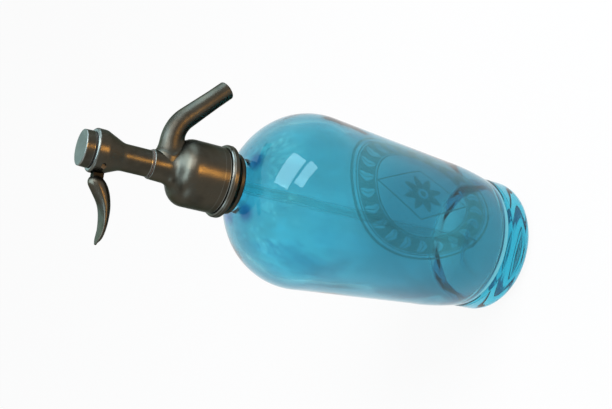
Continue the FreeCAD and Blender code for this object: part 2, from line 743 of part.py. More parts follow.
PARTS = {
    "glass_bottle": glass_bottle,
    "dip_tube": dip_tube,
    "tube_bush": tube_bush,
    "mouth_gasket": mouth_gasket,
    "collar_pad": collar_pad,
    "collar_half_front": lambda: collar_half(-1),
    "collar_half_back": lambda: collar_half(1),
    "head_body": head_body,
    "seat_insert": seat_insert,
    "packing_washer": packing_washer,
    "gland_ring": gland_ring,
    "column_washer": column_washer,
    "column": column,
    "lever": lever,
    "lever_pin": lever_pin,
    "valve_rod": valve_rod,
    "rod_yoke": rod_yoke,
    "valve_holder": valve_holder,
    "valve_washer": valve_washer,
    "washer_screw": washer_screw,
    "return_spring": return_spring,
    "spring_washer": spring_washer,
    "cap_washer": cap_washer,
    "head_cap": head_cap,
    "spout": spout,
}


def main():
    os.makedirs("parts", exist_ok=True)
    for name, make in PARTS.items():
        shape = make()
        solids = shape.Solids
        print("%-18s solids %d valid %s volume %.1f" % (name, len(solids), shape.isValid(), shape.Volume))
        body = solids[0] if len(solids) == 1 else shape
        body.exportStep("parts/%s.step" % name)


main()
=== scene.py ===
import math

import bmesh
import bpy
from mathutils import Euler, Matrix, Vector


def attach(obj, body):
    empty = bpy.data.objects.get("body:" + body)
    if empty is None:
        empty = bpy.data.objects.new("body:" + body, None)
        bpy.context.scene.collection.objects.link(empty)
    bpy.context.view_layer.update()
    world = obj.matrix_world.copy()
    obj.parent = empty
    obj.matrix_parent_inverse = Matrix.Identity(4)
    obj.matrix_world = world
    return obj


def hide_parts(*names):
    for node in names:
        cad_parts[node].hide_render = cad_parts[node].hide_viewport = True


bl_info = {
    "name": "Soda siphon",
    "version": (1, 0, 0),
    "blender": (4, 5, 0),
    "location": "View3D > Sidebar > Siphon",
    "description": "Dresses the soda siphon's frame: blue glass, cast head, lever, spout and studio",
    "category": "Add Mesh",
}

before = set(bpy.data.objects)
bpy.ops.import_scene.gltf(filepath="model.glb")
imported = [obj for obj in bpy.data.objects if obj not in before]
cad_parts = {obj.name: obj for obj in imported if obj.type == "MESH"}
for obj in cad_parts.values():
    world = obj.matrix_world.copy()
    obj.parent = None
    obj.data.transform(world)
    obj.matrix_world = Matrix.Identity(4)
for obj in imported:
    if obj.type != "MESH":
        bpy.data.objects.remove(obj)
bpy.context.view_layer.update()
MM = 0.001
MERGE = 1e-6
SAME_SPOT = 1e-4

# Sizes of the glass bottle, in millimetres, as the frame has them
FOOT_R = 45.4
FOOT_H = 22.8
FOOT_ROUND = 15.0
LIP_H = 2.8
LIP_ROUND = 3.0
GROOVE_R = 44.5
GROOVE_ROUND = 0.7
KICK_R = 24.0
KICK_H = 3.0
BODY_LOW_R = 50.0
BODY_LOW_Z = 60.0
BODY_LOW_BOW = 0.95
BODY_MAX_R = 56.35
SHOULDER_Z = 155.0
SHOULDER_H = 50.0
GLASS_WALL = 5.0
GLASS_FLOOR_Z = 15.0
FLOOR_CORNER_R = 41.5
FLOOR_ROUND = 20.0
NECK_R = 14.5
NECK_WALL = 4.5
NECK_FLARE = 5.0
BORE_FLARE = 4.0
BEAD_Z = 222.0
BEAD_R = 16.8
BEAD_ROUND = 1.3
MOUTH_Z = 232.0
MOUTH_ROUND = 0.8

# Steps along the glass's outlines in millimetres, and the share of the waves on its outer face
GLASS_STEP = 3.0
OUTER_WAVES = 0.10

# Painted shade at the neck: dark blue spots round it beside the collar, their directions in degrees, then
# radius and height in metres
NECK_SHADE_DEGREES = (-52, -144, 52, 144)
NECK_SHADE_R = 0.0220
NECK_SHADE_Z = 0.2012

# Sizes of the head casting
CUP_R = 20.6
CUP_IN_R = 18.2
CUP_Z = 216.5
CEILING_Z = 234.0
DOME_Z = 241.5
DOME_ROUND = 9.5
DOME_SLOPE = math.radians(30.0)
SOCKET_FOOT_R = 9.6
SOCKET_TOP_R = 9.0
SOCKET_ROUND = 6.0
SOCKET_Z = 260.5
CHAMBER_R = 5.5
CHAMBER_Z = 240.5
GLAND_R = 7.15
GLAND_Z = 250.5
SEAT_HOLE_R = 6.1

# Sizes of the spout
SPOUT_Z = 249.5
SPOUT_CORNER_X = 25.6
SPOUT_BEND_R = 24.0
SPOUT_TURN = math.radians(44.5)
SPOUT_FALL = 33.4
SPOUT_TIP_L = 11.0
SPOUT_ROOT_R = 7.3
SPOUT_TIP_R = 5.9
SPOUT_BORE_R = 3.5
SPOUT_CHAMFER = 0.3
STRAIGHT_STEPS = 34
BEND_STEPS = 28
FALL_STEPS = 30

# Lip of the spout: places along it in millimetres, and shares of its radius
SPOUT_LIP = ((-0.5, 1.0), (-0.15, 0.975), (0.0, 0.92))

# Sizes of the thumb lever
PIVOT_X = -9.5
PIVOT_Z = 290.3
PIN_R = 1.55
HUB_R = 3.2
HUB_HALF_W = 2.6
FINGER_R = 1.8
FINGER_HALF_W = 1.8
LEVER_TIP_ROUND = 1.2
LEVER_VOXEL = 0.28

# Stations of the lever: distance out from the pivot, then crown, side edge and belly over it, then width
LEVER_STATIONS = (
    (5.2, 3.4, 1.4, -3.2, 5.8),
    (7.2, 5.0, 1.7, -5.5, 8.8),
    (10.2, 4.8, 0.4, -7.6, 10.4),
    (14.5, 1.6, -2.2, -9.3, 11.4),
    (20.5, -3.1, -4.9, -10.5, 12.2),
    (26.5, -5.6, -6.3, -10.7, 12.5),
    (33.5, -6.5, -6.9, -10.1, 12.0),
    (39.5, -5.9, -6.2, -8.7, 9.8),
    (43.7, -5.4, -5.6, -6.6, 4.6),
)

# Worn lines of the metal, lighter bands that are also painted highlight rings along its rims: height and half
# width in metres, then strength
HEAD_WEAR_HIGHLIGHTS = ((0.2172, 0.0004, 0.8), (0.2602, 0.0003, 0.5), (0.2205, 0.00015, 0.35))
COLLAR_WEAR_HIGHLIGHTS = ((0.2161, 0.0004, 0.6), (0.2148, 0.0003, 0.25))
COLUMN_WEAR_HIGHLIGHTS = ((0.2617, 0.0005, 0.6), (0.2960, 0.0011, 0.35))
CAP_WEAR_HIGHLIGHTS = ((0.3022, 0.0005, 0.8), (0.2973, 0.0004, 0.4))
# Painted shade: from this X towards the pivot the lever is drawn near black, where it lies in shade under the
# bulb
LEVER_PAINTED_SHADE_X = -0.0185

# The photograph's camera, in degrees and metres, with its focal length over the width of the frame
CAMERA_SIDE = 12.0
CAMERA_DIP = 28.75
CAMERA_ROLL = 13.7
CAMERA_AWAY = 0.563
CAMERA_HEIGHT = 0.4615
CAMERA_SHIFT = 0.00146
CAMERA_FOCUS = 1008.0 / 612
SENSOR_W = 36

# Lamps and floor, in metres
BODY_TARGET = (0, 0, 0.19)
WINDOW_PLACE = (0.385, -0.493, 0.91)
WINDOW_ROLL = 35
WINDOW_TINT = (0.92, 0.93, 1.0)
SKY_TINT = (0.56, 0.80, 1.0)
WARM_TINT = (1.0, 0.49, 0.10)
FLOOR_REACH = 3.0
FLOOR_DROP = 0.0002


# Outlines in the (radius, height) plane

def arc_between(p, corner, q, steps):
    """Points of the arc that leaves p towards the corner and reaches q from it."""
    a = (p - corner).normalized()
    b = (q - corner).normalized()
    half = a.angle(b) / 2
    radius = (p - corner).length * math.tan(half)
    centre = corner + (a + b).normalized() * (radius / math.sin(half))
    first = p - centre
    sweep = math.pi - 2 * half
    side = 1 if first.x * (q - centre).y - first.y * (q - centre).x > 0 else -1
    points = []
    for i in range(steps + 1):
        turn = side * sweep * i / steps
        cos, sin = math.cos(turn), math.sin(turn)
        points.append(centre + Vector((first.x * cos - first.y * sin, first.x * sin + first.y * cos)))
    return points


def rounded(points, steps=6):
    """A line through (r, z) or (r, z, radius) points, with an arc at each point with a radius."""
    spots = [Vector(p[:2]) for p in points]
    out = [spots[0]]
    for i in range(1, len(points) - 1):
        if len(points[i]) < 3:
            out.append(spots[i])
            continue
        before = spots[i - 1] - spots[i]
        after = spots[i + 1] - spots[i]
        half = before.angle(after) / 2
        reach = min(points[i][2] / math.tan(half), 0.49 * before.length, 0.49 * after.length)
        p = spots[i] + before.normalized() * reach
        q = spots[i] + after.normalized() * reach
        out += arc_between(p, spots[i], q, steps)
    out.append(spots[-1])
    return out


def shoulder(a, b, low, join_r, neck_r, steps=26):
    """The elliptic shoulder from its tangent with the body up to join_r, then the blend into the neck."""
    slope = (a - low[0]) / (SHOULDER_Z - low[1])
    start = -math.atan(slope * b / a)
    end = math.acos(join_r / a)
    points = []
    for i in range(steps + 1):
        turn = start + (end - start) * i / steps
        points.append(Vector((a * math.cos(turn), SHOULDER_Z + b * math.sin(turn))))
    p = points[-1]
    fall = b * math.cos(end) / (a * math.sin(end))
    corner = Vector((neck_r, p.y + (p.x - neck_r) * fall))
    top = Vector((neck_r, corner.y + (p - corner).length))
    return points + arc_between(p, corner, top, 8)[1:]


def bottle_outer():
    """Outer outline of the glass, from the axis under the foot to the mouth's inner edge."""
    kick_ball = (KICK_R ** 2 + KICK_H ** 2) / (2 * KICK_H)
    points = []
    for i in range(9):
        r = KICK_R * i / 8
        points.append(Vector((r, KICK_H - kick_ball + math.sqrt(kick_ball ** 2 - r * r))))
    groove_top = Vector((GROOVE_R + GROOVE_ROUND, FOOT_H + 2 * GROOVE_ROUND))
    points += rounded([
        (KICK_R, 0),
        (FOOT_R, 0, FOOT_ROUND),
        (FOOT_R, FOOT_H - LIP_H, LIP_ROUND),
        (GROOVE_R, FOOT_H, GROOVE_ROUND),
        tuple(groove_top),
    ], 10)
    low = Vector((BODY_LOW_R, BODY_LOW_Z))
    along = (low - groove_top).normalized()
    across = Vector((along.y, -along.x))
    for i in range(1, 12):
        t = i / 12
        points.append(groove_top.lerp(low, t) + across * (4 * BODY_LOW_BOW * t * (1 - t)))
    points.append(low)
    points += shoulder(BODY_MAX_R, SHOULDER_H, (BODY_LOW_R, BODY_LOW_Z), NECK_R + NECK_FLARE, NECK_R)
    points += rounded([
        (NECK_R, BEAD_Z - 2),
        (NECK_R, BEAD_Z),
        (BEAD_R, BEAD_Z, BEAD_ROUND),
        (BEAD_R, MOUTH_Z, BEAD_ROUND),
        (NECK_R - NECK_WALL, MOUTH_Z, MOUTH_ROUND),
        (NECK_R - NECK_WALL, MOUTH_Z - 2),
    ])
    return points


def bottle_inner():
    """Inner outline of the glass, from the mouth down to the axis on the floor."""
    low = (BODY_LOW_R - GLASS_WALL, BODY_LOW_Z)
    bore = NECK_R - NECK_WALL
    up = shoulder(BODY_MAX_R - GLASS_WALL, SHOULDER_H - GLASS_WALL, low, bore + BORE_FLARE, bore)
    floor = rounded([
        low,
        (FLOOR_CORNER_R, GLASS_FLOOR_Z, FLOOR_ROUND),
        (0, GLASS_FLOOR_Z),
    ], 16)
    return up[::-1] + floor


def head_outer():
    """Outer outline of the head casting, from the cup's edge to the socket's top."""
    rise = (CUP_R - SOCKET_FOOT_R) * math.tan(DOME_SLOPE)
    return [
        (CUP_R, CUP_Z, 0.6),
        (CUP_R, DOME_Z, DOME_ROUND),
        (SOCKET_FOOT_R, DOME_Z + rise, SOCKET_ROUND),
        (SOCKET_TOP_R, SOCKET_Z, 0.5),
    ]


def dense(points, step, closed=False):
    """The same line with no stretch longer than step and no point twice."""
    out = [points[0]]
    for q in points[1:] + ([points[0]] if closed else []):
        p = out[-1]
        length = (q - p).length
        if length < SAME_SPOT:
            continue
        count = max(1, math.ceil(length / step))
        for i in range(1, count + 1):
            out.append(p.lerp(q, i / count))
    return out[:-1] if closed else out


# Meshes and objects

def new_object(name, mesh):
    """An object with this mesh, in the scene."""
    piece = bpy.data.objects.new(name, mesh)
    bpy.context.scene.collection.objects.link(piece)
    return piece


def mesh_of(name, spots, faces=(), edges=()):
    """A mesh in metres from points in millimetres."""
    mesh = bpy.data.meshes.new(name)
    mesh.from_pydata([Vector(p) * MM for p in spots], edges, faces)
    mesh.update()
    return mesh


def close_up(mesh):
    """Merges doubles, closes the shell's poles and turns all faces outwards."""
    work = bmesh.new()
    work.from_mesh(mesh)
    bmesh.ops.remove_doubles(work, verts=work.verts, dist=MERGE)
    bmesh.ops.dissolve_degenerate(work, edges=work.edges, dist=MERGE)
    bmesh.ops.recalc_face_normals(work, faces=work.faces)
    for face in work.faces:
        face.smooth = True
    work.to_mesh(mesh)
    work.free()


def settle(piece):
    """Turns the piece's evaluated geometry into its own plain mesh and takes its modifiers off."""
    bpy.context.view_layer.update()
    graph = bpy.context.evaluated_depsgraph_get()
    mesh = bpy.data.meshes.new_from_object(piece.evaluated_get(graph))
    mesh.name = piece.name
    piece.modifiers.clear()
    old = piece.data
    piece.data = mesh
    bpy.data.meshes.remove(old)
    close_up(mesh)
    return piece


def sharpen(piece):
    """Keeps the steep edges crisp."""
    piece.data.set_sharp_from_angle(angle=math.radians(50))


def dress(piece, material, slot, body, *nodes):
    """Gives a finished piece its material and its place in the frame."""
    piece.data.materials.clear()
    piece.data.materials.append(material)
    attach(piece, body)
    if nodes:
        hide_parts(*nodes)


# Node trees

class Flow:
    """A socket of a node tree. Arithmetic on it adds Math nodes."""

    def __init__(self, nodes, socket):
        self.nodes = nodes
        self.socket = socket

    def math(self, operation, other=None, swap=False):
        """A Math node on this value and the other, or on the other and this one."""
        pair = [self, other] if not swap else [other, self]
        inputs = {i: value for i, value in enumerate(pair) if value is not None}
        return self.nodes.node("ShaderNodeMath", {"operation": operation}, inputs)

    def __add__(self, other):
        return self.math("ADD", other)

    def __radd__(self, other):
        return self.math("ADD", other, True)

    def __sub__(self, other):
        return self.math("SUBTRACT", other)

    def __rsub__(self, other):
        return self.math("SUBTRACT", other, True)

    def __mul__(self, other):
        return self.math("MULTIPLY", other)

    def __rmul__(self, other):
        return self.math("MULTIPLY", other, True)

    def __truediv__(self, other):
        return self.math("DIVIDE", other)

    def __rtruediv__(self, other):
        return self.math("DIVIDE", other, True)

    def __abs__(self):
        return self.math("ABSOLUTE")


class Nodes:
    """Adds nodes to a node tree."""

    def __init__(self, tree):
        self.tree = tree

    def node(self, kind, settings=None, inputs=None, out=0):
        """Adds a node, sets its settings, then the values or links of its sockets."""
        made = self.tree.nodes.new(kind)
        for key, value in (settings or {}).items():
            setattr(made, key, value)
        for key, value in (inputs or {}).items():
            if isinstance(value, Flow):
                self.tree.links.new(value.socket, made.inputs[key])
            else:
                made.inputs[key].default_value = value
        return Flow(self, made.outputs[out])

    def split(self, vector):
        """X, Y and Z of a vector."""
        made = self.tree.nodes.new("ShaderNodeSeparateXYZ")
        self.tree.links.new(vector.socket, made.inputs[0])
        return [Flow(self, made.outputs[i]) for i in range(3)]

    def end(self, kind, links):
        """Adds the last node of the tree."""
        made = self.tree.nodes.new(kind)
        for key, value in links.items():
            self.tree.links.new(value.socket, made.inputs[key])


# Geometry Nodes

class Tree(Nodes):
    """A Geometry Nodes tree with named inputs."""

    def __init__(self, name):
        super().__init__(bpy.data.node_groups.new(name, "GeometryNodeTree"))
        self.socket("Geometry", "NodeSocketGeometry")
        self.tree.interface.new_socket("Geometry", in_out="OUTPUT", socket_type="NodeSocketGeometry")
        self.input = self.tree.nodes.new("NodeGroupInput")

    def socket(self, name, kind, default=None):
        """Adds a named input."""
        item = self.tree.interface.new_socket(name, in_out="INPUT", socket_type=kind)
        if default is not None:
            item.default_value = default

    def get(self, name):
        """The value of a named input."""
        return Flow(self, self.input.outputs[name])

    def finish(self, geometry):
        """Makes instances real, gives the geometry the tree's material and ends the tree."""
        real = self.node("GeometryNodeRealizeInstances", None, {"Geometry": geometry})
        inputs = {"Geometry": real, "Material": self.get("Material")}
        self.end("NodeGroupOutput", {"Geometry": self.node("GeometryNodeSetMaterial", None, inputs)})
        return self.tree


def run_tree(piece, tree, values):
    """Puts the tree on the piece with these named values, and makes the result its plain mesh."""
    modifier = piece.modifiers.new(tree.name, "NODES")
    modifier.node_group = tree
    for item in tree.interface.items_tree:
        if item.item_type == "SOCKET" and item.in_out == "INPUT" and item.name in values:
            modifier[item.identifier] = values[item.name]
    return settle(piece)


def turned_tree():
    """Turns an outline round the Z axis, then moves it along its normals by a slow noise. The outline's
    own attribute "wave" says how much each point moves."""
    t = Tree("Turned piece")
    t.socket("Segments", "NodeSocketInt", 128)
    t.socket("Path Radius", "NodeSocketFloat", 0.05)
    t.socket("Wave Depth", "NodeSocketFloat", 0.0)
    t.socket("Wave Size", "NodeSocketFloat", 0.03)
    t.socket("Wave Stretch", "NodeSocketFloat", 1.0)
    t.socket("Seed", "NodeSocketFloat", 0.0)
    t.socket("Material", "NodeSocketMaterial")
    outline = t.node("GeometryNodeMeshToCurve", None, {"Mesh": t.get("Geometry")})
    circle = t.node("GeometryNodeCurvePrimitiveCircle", {"mode": "RADIUS"},
                    {"Resolution": t.get("Segments"), "Radius": t.get("Path Radius")})
    skin = t.node("GeometryNodeCurveToMesh", None, {"Curve": circle, "Profile Curve": outline})
    whole = t.node("GeometryNodeMergeByDistance", None, {"Geometry": skin, "Distance": MERGE})
    x, y, z = t.split(t.node("GeometryNodeInputPosition"))
    place = t.node("ShaderNodeCombineXYZ", None, {0: x, 1: y, 2: z / t.get("Wave Stretch")})
    ripple = t.node("ShaderNodeTexNoise", {"noise_dimensions": "4D"}, {
        "Vector": place,
        "W": t.get("Seed"),
        "Scale": 1.0 / t.get("Wave Size"),
        "Detail": 1.0,
        "Roughness": 0.4,
    })
    share = t.node("GeometryNodeInputNamedAttribute", {"data_type": "FLOAT"}, {"Name": "wave"})
    depth = (ripple - 0.5) * 2.0 * t.get("Wave Depth") * share
    push = t.node("ShaderNodeVectorMath", {"operation": "SCALE"}, {
        0: t.node("GeometryNodeInputNormal"), "Scale": depth})
    return t.finish(t.node("GeometryNodeSetPosition", None, {"Geometry": whole, "Offset": push}))


def turned_piece(name, outline, waves, values, outside=None):
    """A piece from an outline of (r, z) points and each point's share of the waves. outside is 1 at points
    on the outer face, and stays on the mesh for the material."""
    path_r = 50.0
    spots = [(p.x - path_r, -p.y, 0) for p in outline]
    edges = [(i, i + 1) for i in range(len(spots) - 1)]
    if outline[0].x > MERGE:
        edges.append((len(spots) - 1, 0))
    mesh = mesh_of(name, spots, edges=edges)
    mesh.attributes.new("wave", "FLOAT", "POINT").data.foreach_set("value", waves)
    if outside:
        mesh.attributes.new("outside", "FLOAT", "POINT").data.foreach_set("value", outside)
    piece = new_object(name, mesh)
    tree = bpy.data.node_groups.get("Turned piece") or turned_tree()
    run_tree(piece, tree, dict(values, **{"Path Radius": path_r * MM}))
    piece.data.attributes.remove(piece.data.attributes["wave"])
    return piece


# Finishes

class Finish(Nodes):
    """A material and its shader tree."""

    def __init__(self, name):
        self.material = bpy.data.materials.new(name)
        self.material.use_nodes = True
        super().__init__(self.material.node_tree)
        self.tree.nodes.clear()
        self.place = self.node("ShaderNodeTexCoord", out="Object")

    def axes(self):
        """X, Y and Z of the place on the object, in metres."""
        return self.split(self.place)

    def stretch(self, x, y, z, turn=(0, 0, 0)):
        """The place on the object, scaled along its axes."""
        return self.node("ShaderNodeMapping", None, {
            "Vector": self.place, "Scale": (x, y, z), "Rotation": turn})

    def noise(self, size, detail=2.0, rough=0.5, place=None, seed=0.0):
        """A noise from 0 to 1 with features of that size in metres."""
        return self.node("ShaderNodeTexNoise", {"noise_dimensions": "4D"}, {
            "Vector": place or self.place, "W": seed, "Scale": 1 / size,
            "Detail": detail, "Roughness": rough})

    def band(self, value, low, high, start=0.0, end=1.0):
        """value eased from start at low to end at high, and level beyond."""
        return self.node("ShaderNodeMapRange", {"interpolation_type": "SMOOTHSTEP"}, {
            "Value": value, "From Min": low, "From Max": high, "To Min": start, "To Max": end})

    def mix(self, share, a, b):
        """Colour a, going to colour b as share goes from 0 to 1."""
        return self.node("ShaderNodeMix", {"data_type": "RGBA"}, {0: share, 6: a, 7: b}, out=2)

    def bump(self, height, strength, depth, under=None):
        """A Bump node. height is 0 to 1, depth its size in metres."""
        inputs = {"Height": height, "Strength": strength, "Distance": depth}
        if under is not None:
            inputs["Normal"] = under
        return self.node("ShaderNodeBump", None, inputs)

    def surface(self, inputs, volume=None):
        """The finished material, with these sockets of the Principled shader."""
        links = {"Surface": self.node("ShaderNodeBsdfPrincipled", None, inputs)}
        if volume is not None:
            links["Volume"] = volume
        self.end("ShaderNodeOutputMaterial", links)
        return self.material


def rgba(colour):
    """The colour with full alpha."""
    return (colour[0], colour[1], colour[2], 1.0)


def cast_metal(name, look, wear_and_highlights=(), lathe=0.0, dents=1.0, painted_shade_x=None):
    """Old cast bronze: dark olive brown, with a thin patina, scuffs, small dents, and worn rims drawn as
    lighter bands that are also painted highlight rings.
    The wear table gives its worn lines with their painted highlights, lathe is how much turned it looks, and
    the last argument is where along X painted shade begins, near black over the lever's pivot end under the
    bulb."""
    f = Finish(name)
    x, y, z = f.axes()
    tint = look.metal_colour
    cloud = f.noise(0.018, 3.0, 0.55, seed=3.0)
    fine = f.noise(0.0009, 3.0, 0.6, seed=8.0)
    scratch = f.noise(0.0035, 4.0, 0.65, f.stretch(0.2, 0.2, 10.0), 5.0)
    dark = rgba([c * 0.60 for c in tint])
    base = f.mix(f.band(cloud, 0.38, 0.66), rgba(tint), dark)
    cover = f.band(f.noise(0.012, 5.0, 0.62, seed=14.0), 0.42, 0.75) * 0.6
    base = f.mix(cover, base, rgba(look.patina_colour))
    base = f.mix(f.band(fine, 0.60, 0.76) * 0.40, base, dark)
    rough = f.band(cloud, 0.3, 0.7, 0.28, 0.38) + cover * 0.10 + (fine - 0.5) * 0.12
    # Worn lines: lighter, smoother bands of worn metal, which also paint highlight rings on the rims
    for height, half, strength in wear_and_highlights:
        line = f.band(abs(z - height), half, half * 0.3)
        line = line * f.band(f.noise(0.006, 2.0, seed=21.0), 0.05, 0.40)
        base = f.mix(line * strength, base, (0.20, 0.21, 0.19, 1.0))
        rough = rough - line * 0.08 * strength
    # Painted shade: near black and duller over the lever's pivot end, where it lies under the bulb
    if painted_shade_x is not None:
        painted_shade = f.band(x, painted_shade_x, painted_shade_x + 0.0025)
        base = f.mix(painted_shade, base, (0.010, 0.009, 0.007, 1.0))
        rough = rough + painted_shade * 0.25
    pits = f.node("ShaderNodeTexVoronoi", {"feature": "SMOOTH_F1"}, {
        "Vector": f.place, "Scale": 1 / 0.005, "Smoothness": 0.6})
    soft = f.bump(f.noise(0.012, 2.0, 0.5, seed=31.0), 0.06 * dents, 0.0010)
    soft = f.bump(f.band(pits, 0.0, 0.35), 0.14 * dents, 0.0003, soft)
    soft = f.bump(scratch, 0.12 + 0.10 * lathe, 0.0002, soft)
    soft = f.bump(fine, 0.14, 0.00008, soft)
    return f.surface({
        "Base Color": base,
        "Metallic": 1.0,
        "Roughness": rough,
        "Specular Tint": (0.45, 0.48, 0.46, 1.0),
        "Anisotropic": 0.35 * lathe,
        "Anisotropic Rotation": 0.25,
        "Normal": soft,
    })


def plain_metal(name, colour, rough):
    """Machined metal that has dulled: fine rings, small dark spots."""
    f = Finish(name)
    rings = f.noise(0.003, 3.0, 0.6, f.stretch(0.2, 0.2, 8.0), 2.0)
    spots = f.band(f.noise(0.002, 3.0, 0.6, seed=4.0), 0.55, 0.75)
    base = f.mix(spots * 0.6, rgba(colour), rgba([c * 0.4 for c in colour]))
    return f.surface({
        "Base Color": base,
        "Metallic": 1.0,
        "Roughness": rough + rings * 0.15,
        "Normal": f.bump(rings, 0.2, 0.0002),
    })


def soft_ring(name, colour, rough, grain):
    """Leather or rubber: a grain of small cells and a slight change of tone."""
    f = Finish(name)
    cells = f.node("ShaderNodeTexVoronoi", None, {"Vector": f.place, "Scale": 1 / grain})
    tone = f.noise(0.004, 3.0, seed=6.0)
    base = f.mix(f.band(tone, 0.35, 0.7) * 0.5, rgba(colour), rgba([c * 0.55 for c in colour]))
    return f.surface({
        "Base Color": base,
        "Roughness": rough + tone * 0.12,
        "Normal": f.bump(cells, 0.3, grain * 0.3),
    })


def clear_tube():
    """Thin clear tube, slightly green, with faint streaks."""
    f = Finish("clear_tube")
    streak = f.noise(0.003, 2.0, 0.5, f.stretch(1.0, 1.0, 0.05), 2.0)
    return f.surface({
        "Base Color": f.mix(streak * 0.4, (0.86, 0.93, 0.92, 1.0), (0.74, 0.86, 0.84, 1.0)),
        "Roughness": f.band(streak, 0.3, 0.8, 0.0, 0.03),
        "IOR": 1.22,
        "Transmission Weight": 1.0,
    })


def glass_tint(f, look, outside):
    """Tint of the glass: clouds and folds of tone, deeper towards the foot, pale streaks of painted light
    over the shoulder and neck, a ring at the neck and dark spots of painted shade beside it, a deep rim and a
    pale foot. outside is 1 on the outer face."""
    x, y, z = f.axes()
    folds = f.noise(0.024, 3.0, 0.55, f.stretch(1.0, 1.0, 0.45, (0.55, 0.35, 0)), 4.0)
    cloud = f.noise(0.055, 2.0, 0.5, f.stretch(1.0, 1.0, 0.7), 6.0)
    streaks = f.noise(0.007, 2.0, 0.5, f.stretch(1.0, 1.0, 0.35), 17.0)
    side = f.band(x - y * 0.25, -0.045, 0.045)
    edge = f.node("ShaderNodeLayerWeight", None, {"Blend": 0.5}, out=1)
    layers = [
        (f.band(cloud, 0.36, 0.64), look.glass_shade),
        (f.band(folds, 0.50, 0.62) * f.band(side, 0.0, 0.9, 0.95, 0.35), look.fold_colour),
        (f.band(folds, 0.47, 0.36) * 0.75, look.light_colour),
        (f.band(side, 0.5, 1.0) * f.band(cloud, 0.3, 0.7, 0.2, 0.5), look.glass_shade),
        (f.band(z, 0.170, 0.110) * f.band(cloud, 0.3, 0.7, 0.55, 0.90), look.deep_colour),
        (f.band(z, 0.095, 0.055) * f.band(z, 0.018, 0.030) * 0.9, look.heel_colour),
        # Painted light: pale streaks over the upper shoulder and neck that stand in for caustics
        (f.band(streaks, 0.54, 0.66) * f.band(z, 0.176, 0.188) * 0.7, look.painted_light_streak_colour),
        (f.band(abs(z - 0.203), 0.010, 0.001) * 0.85, look.neck_colour),
        (f.band(edge, 0.46, 0.66) * outside * f.band(z, 0.024, 0.040), look.rim_colour),
    ]
    # Painted shade: dark blue spots at the neck beside the collar, drawn into the tint
    for degrees in NECK_SHADE_DEGREES:
        turn = math.radians(degrees)
        shade_spot = (NECK_SHADE_R * math.cos(turn), NECK_SHADE_R * math.sin(turn), NECK_SHADE_Z)
        far = f.node("ShaderNodeVectorMath", {"operation": "DISTANCE"}, {0: f.place, 1: shade_spot}, out=1)
        layers.append((f.band(far, 0.0085, 0.0025) * 0.92, look.neck_shade_colour))
    floor = f.band(z, 0.030, 0.020) * f.band(z, 0.008, 0.012) * (1.0 - outside)
    layers.append((f.band(z, 0.024, 0.019), look.foot_colour))
    layers.append((floor * f.band(cloud, 0.3, 0.7, 0.5, 0.95), look.heel_colour))
    base = rgba(look.glass_colour)
    for share, colour in layers:
        base = f.mix(share, base, rgba(colour))
    return base


def blue_glass(look, ornament):
    """Old blue bottle glass with cords in its wall, scuffs on its widest part and the frosted ornament."""
    f = Finish("blue_glass")
    x, y, z = f.axes()
    outside = f.node("ShaderNodeAttribute", {"attribute_name": "outside"}, out=2)
    etched = ornament_mask(f, x, y, z, ornament) * outside
    cords = f.noise(0.02, 2.0, 0.5, f.stretch(1.0, 1.0, 0.22, (0.25, 0.1, 0)), 9.0)
    scuff = f.noise(0.0016, 4.0, 0.7, f.stretch(1.0, 1.0, 0.3), 12.0)
    worn = f.band(scuff, 0.64, 0.78) * f.band(abs(z - 0.120), 0.075, 0.02)
    surface = f.bump(cords * f.band(z, 0.026, 0.045), 0.12, 0.0012)
    volume = f.node("ShaderNodeVolumeAbsorption", None, {
        "Color": rgba(look.wall_colour), "Density": look.wall_density})
    return f.surface({
        "Base Color": f.mix(etched * 0.85, glass_tint(f, look, outside), rgba(look.etch_colour)),
        "Roughness": 0.004 + worn * 0.08 + etched * 0.20,
        "IOR": 1.5,
        "Specular Tint": (0.55, 0.85, 0.92, 1.0),
        "Transmission Weight": 1.0,
        "Normal": f.bump(etched, 0.08, 0.0001, surface),
    }, volume)


def ornament_mask(f, x, y, z, ornament):
    """1 on the frosted ornament: an upright oval wreath of leaves between two lines, with a lozenge and a
    rosette of petals in its middle."""
    face = ornament.angle
    turn = f.node("ShaderNodeMath", {"operation": "ARCTAN2"}, {
        0: x * math.cos(face) + y * math.sin(face), 1: x * math.sin(face) - y * math.cos(face)})
    across = turn * (BODY_MAX_R * MM * 0.97)
    up = z - ornament.height
    u = across / (ornament.width / 2)
    v = up / (ornament.tall / 2)
    reach = (u * u + v * v).math("SQRT")
    way = f.node("ShaderNodeMath", {"operation": "ARCTAN2"}, {0: v, 1: u})
    front = f.band(abs(turn), 1.5, 1.4)

    def line(value, spot, half):
        return f.band(abs(value - spot), half, half * 0.6)

    frame_lines = line(reach, 1.0, 0.022) + line(reach, 0.94, 0.010) + line(reach, 0.66, 0.014)
    leaves = 22
    petals = 8
    cell = (way * (leaves / math.tau)).math("FRACT") - 0.5
    out = (reach - 0.80) / 0.105
    lean = cell + abs(out) * 0.20 - 0.05
    leaf = f.band(lean * lean * 14.0 + out * out, 1.0, 0.82)
    vein = f.band(abs(lean), 0.035, 0.02)
    field = f.band(abs(reach - 0.80), 0.125, 0.115)
    wreath = field * (1.0 - leaf * (1.0 - vein) * 0.85)
    petal = (way * (petals / math.tau)).math("FRACT") - 0.5
    bloom = f.band(reach - (0.30 - abs(petal) * 0.30), 0.0, -0.02) * f.band(reach, 0.065, 0.085)
    heart = f.band(reach, 0.05, 0.035)
    lozenge = line(abs(u) + abs(v) * 0.62, 0.40, 0.014)
    whole = frame_lines + wreath + bloom + heart + lozenge
    return whole.math("MINIMUM", 1.0) * front * ornament.strength


# Pieces

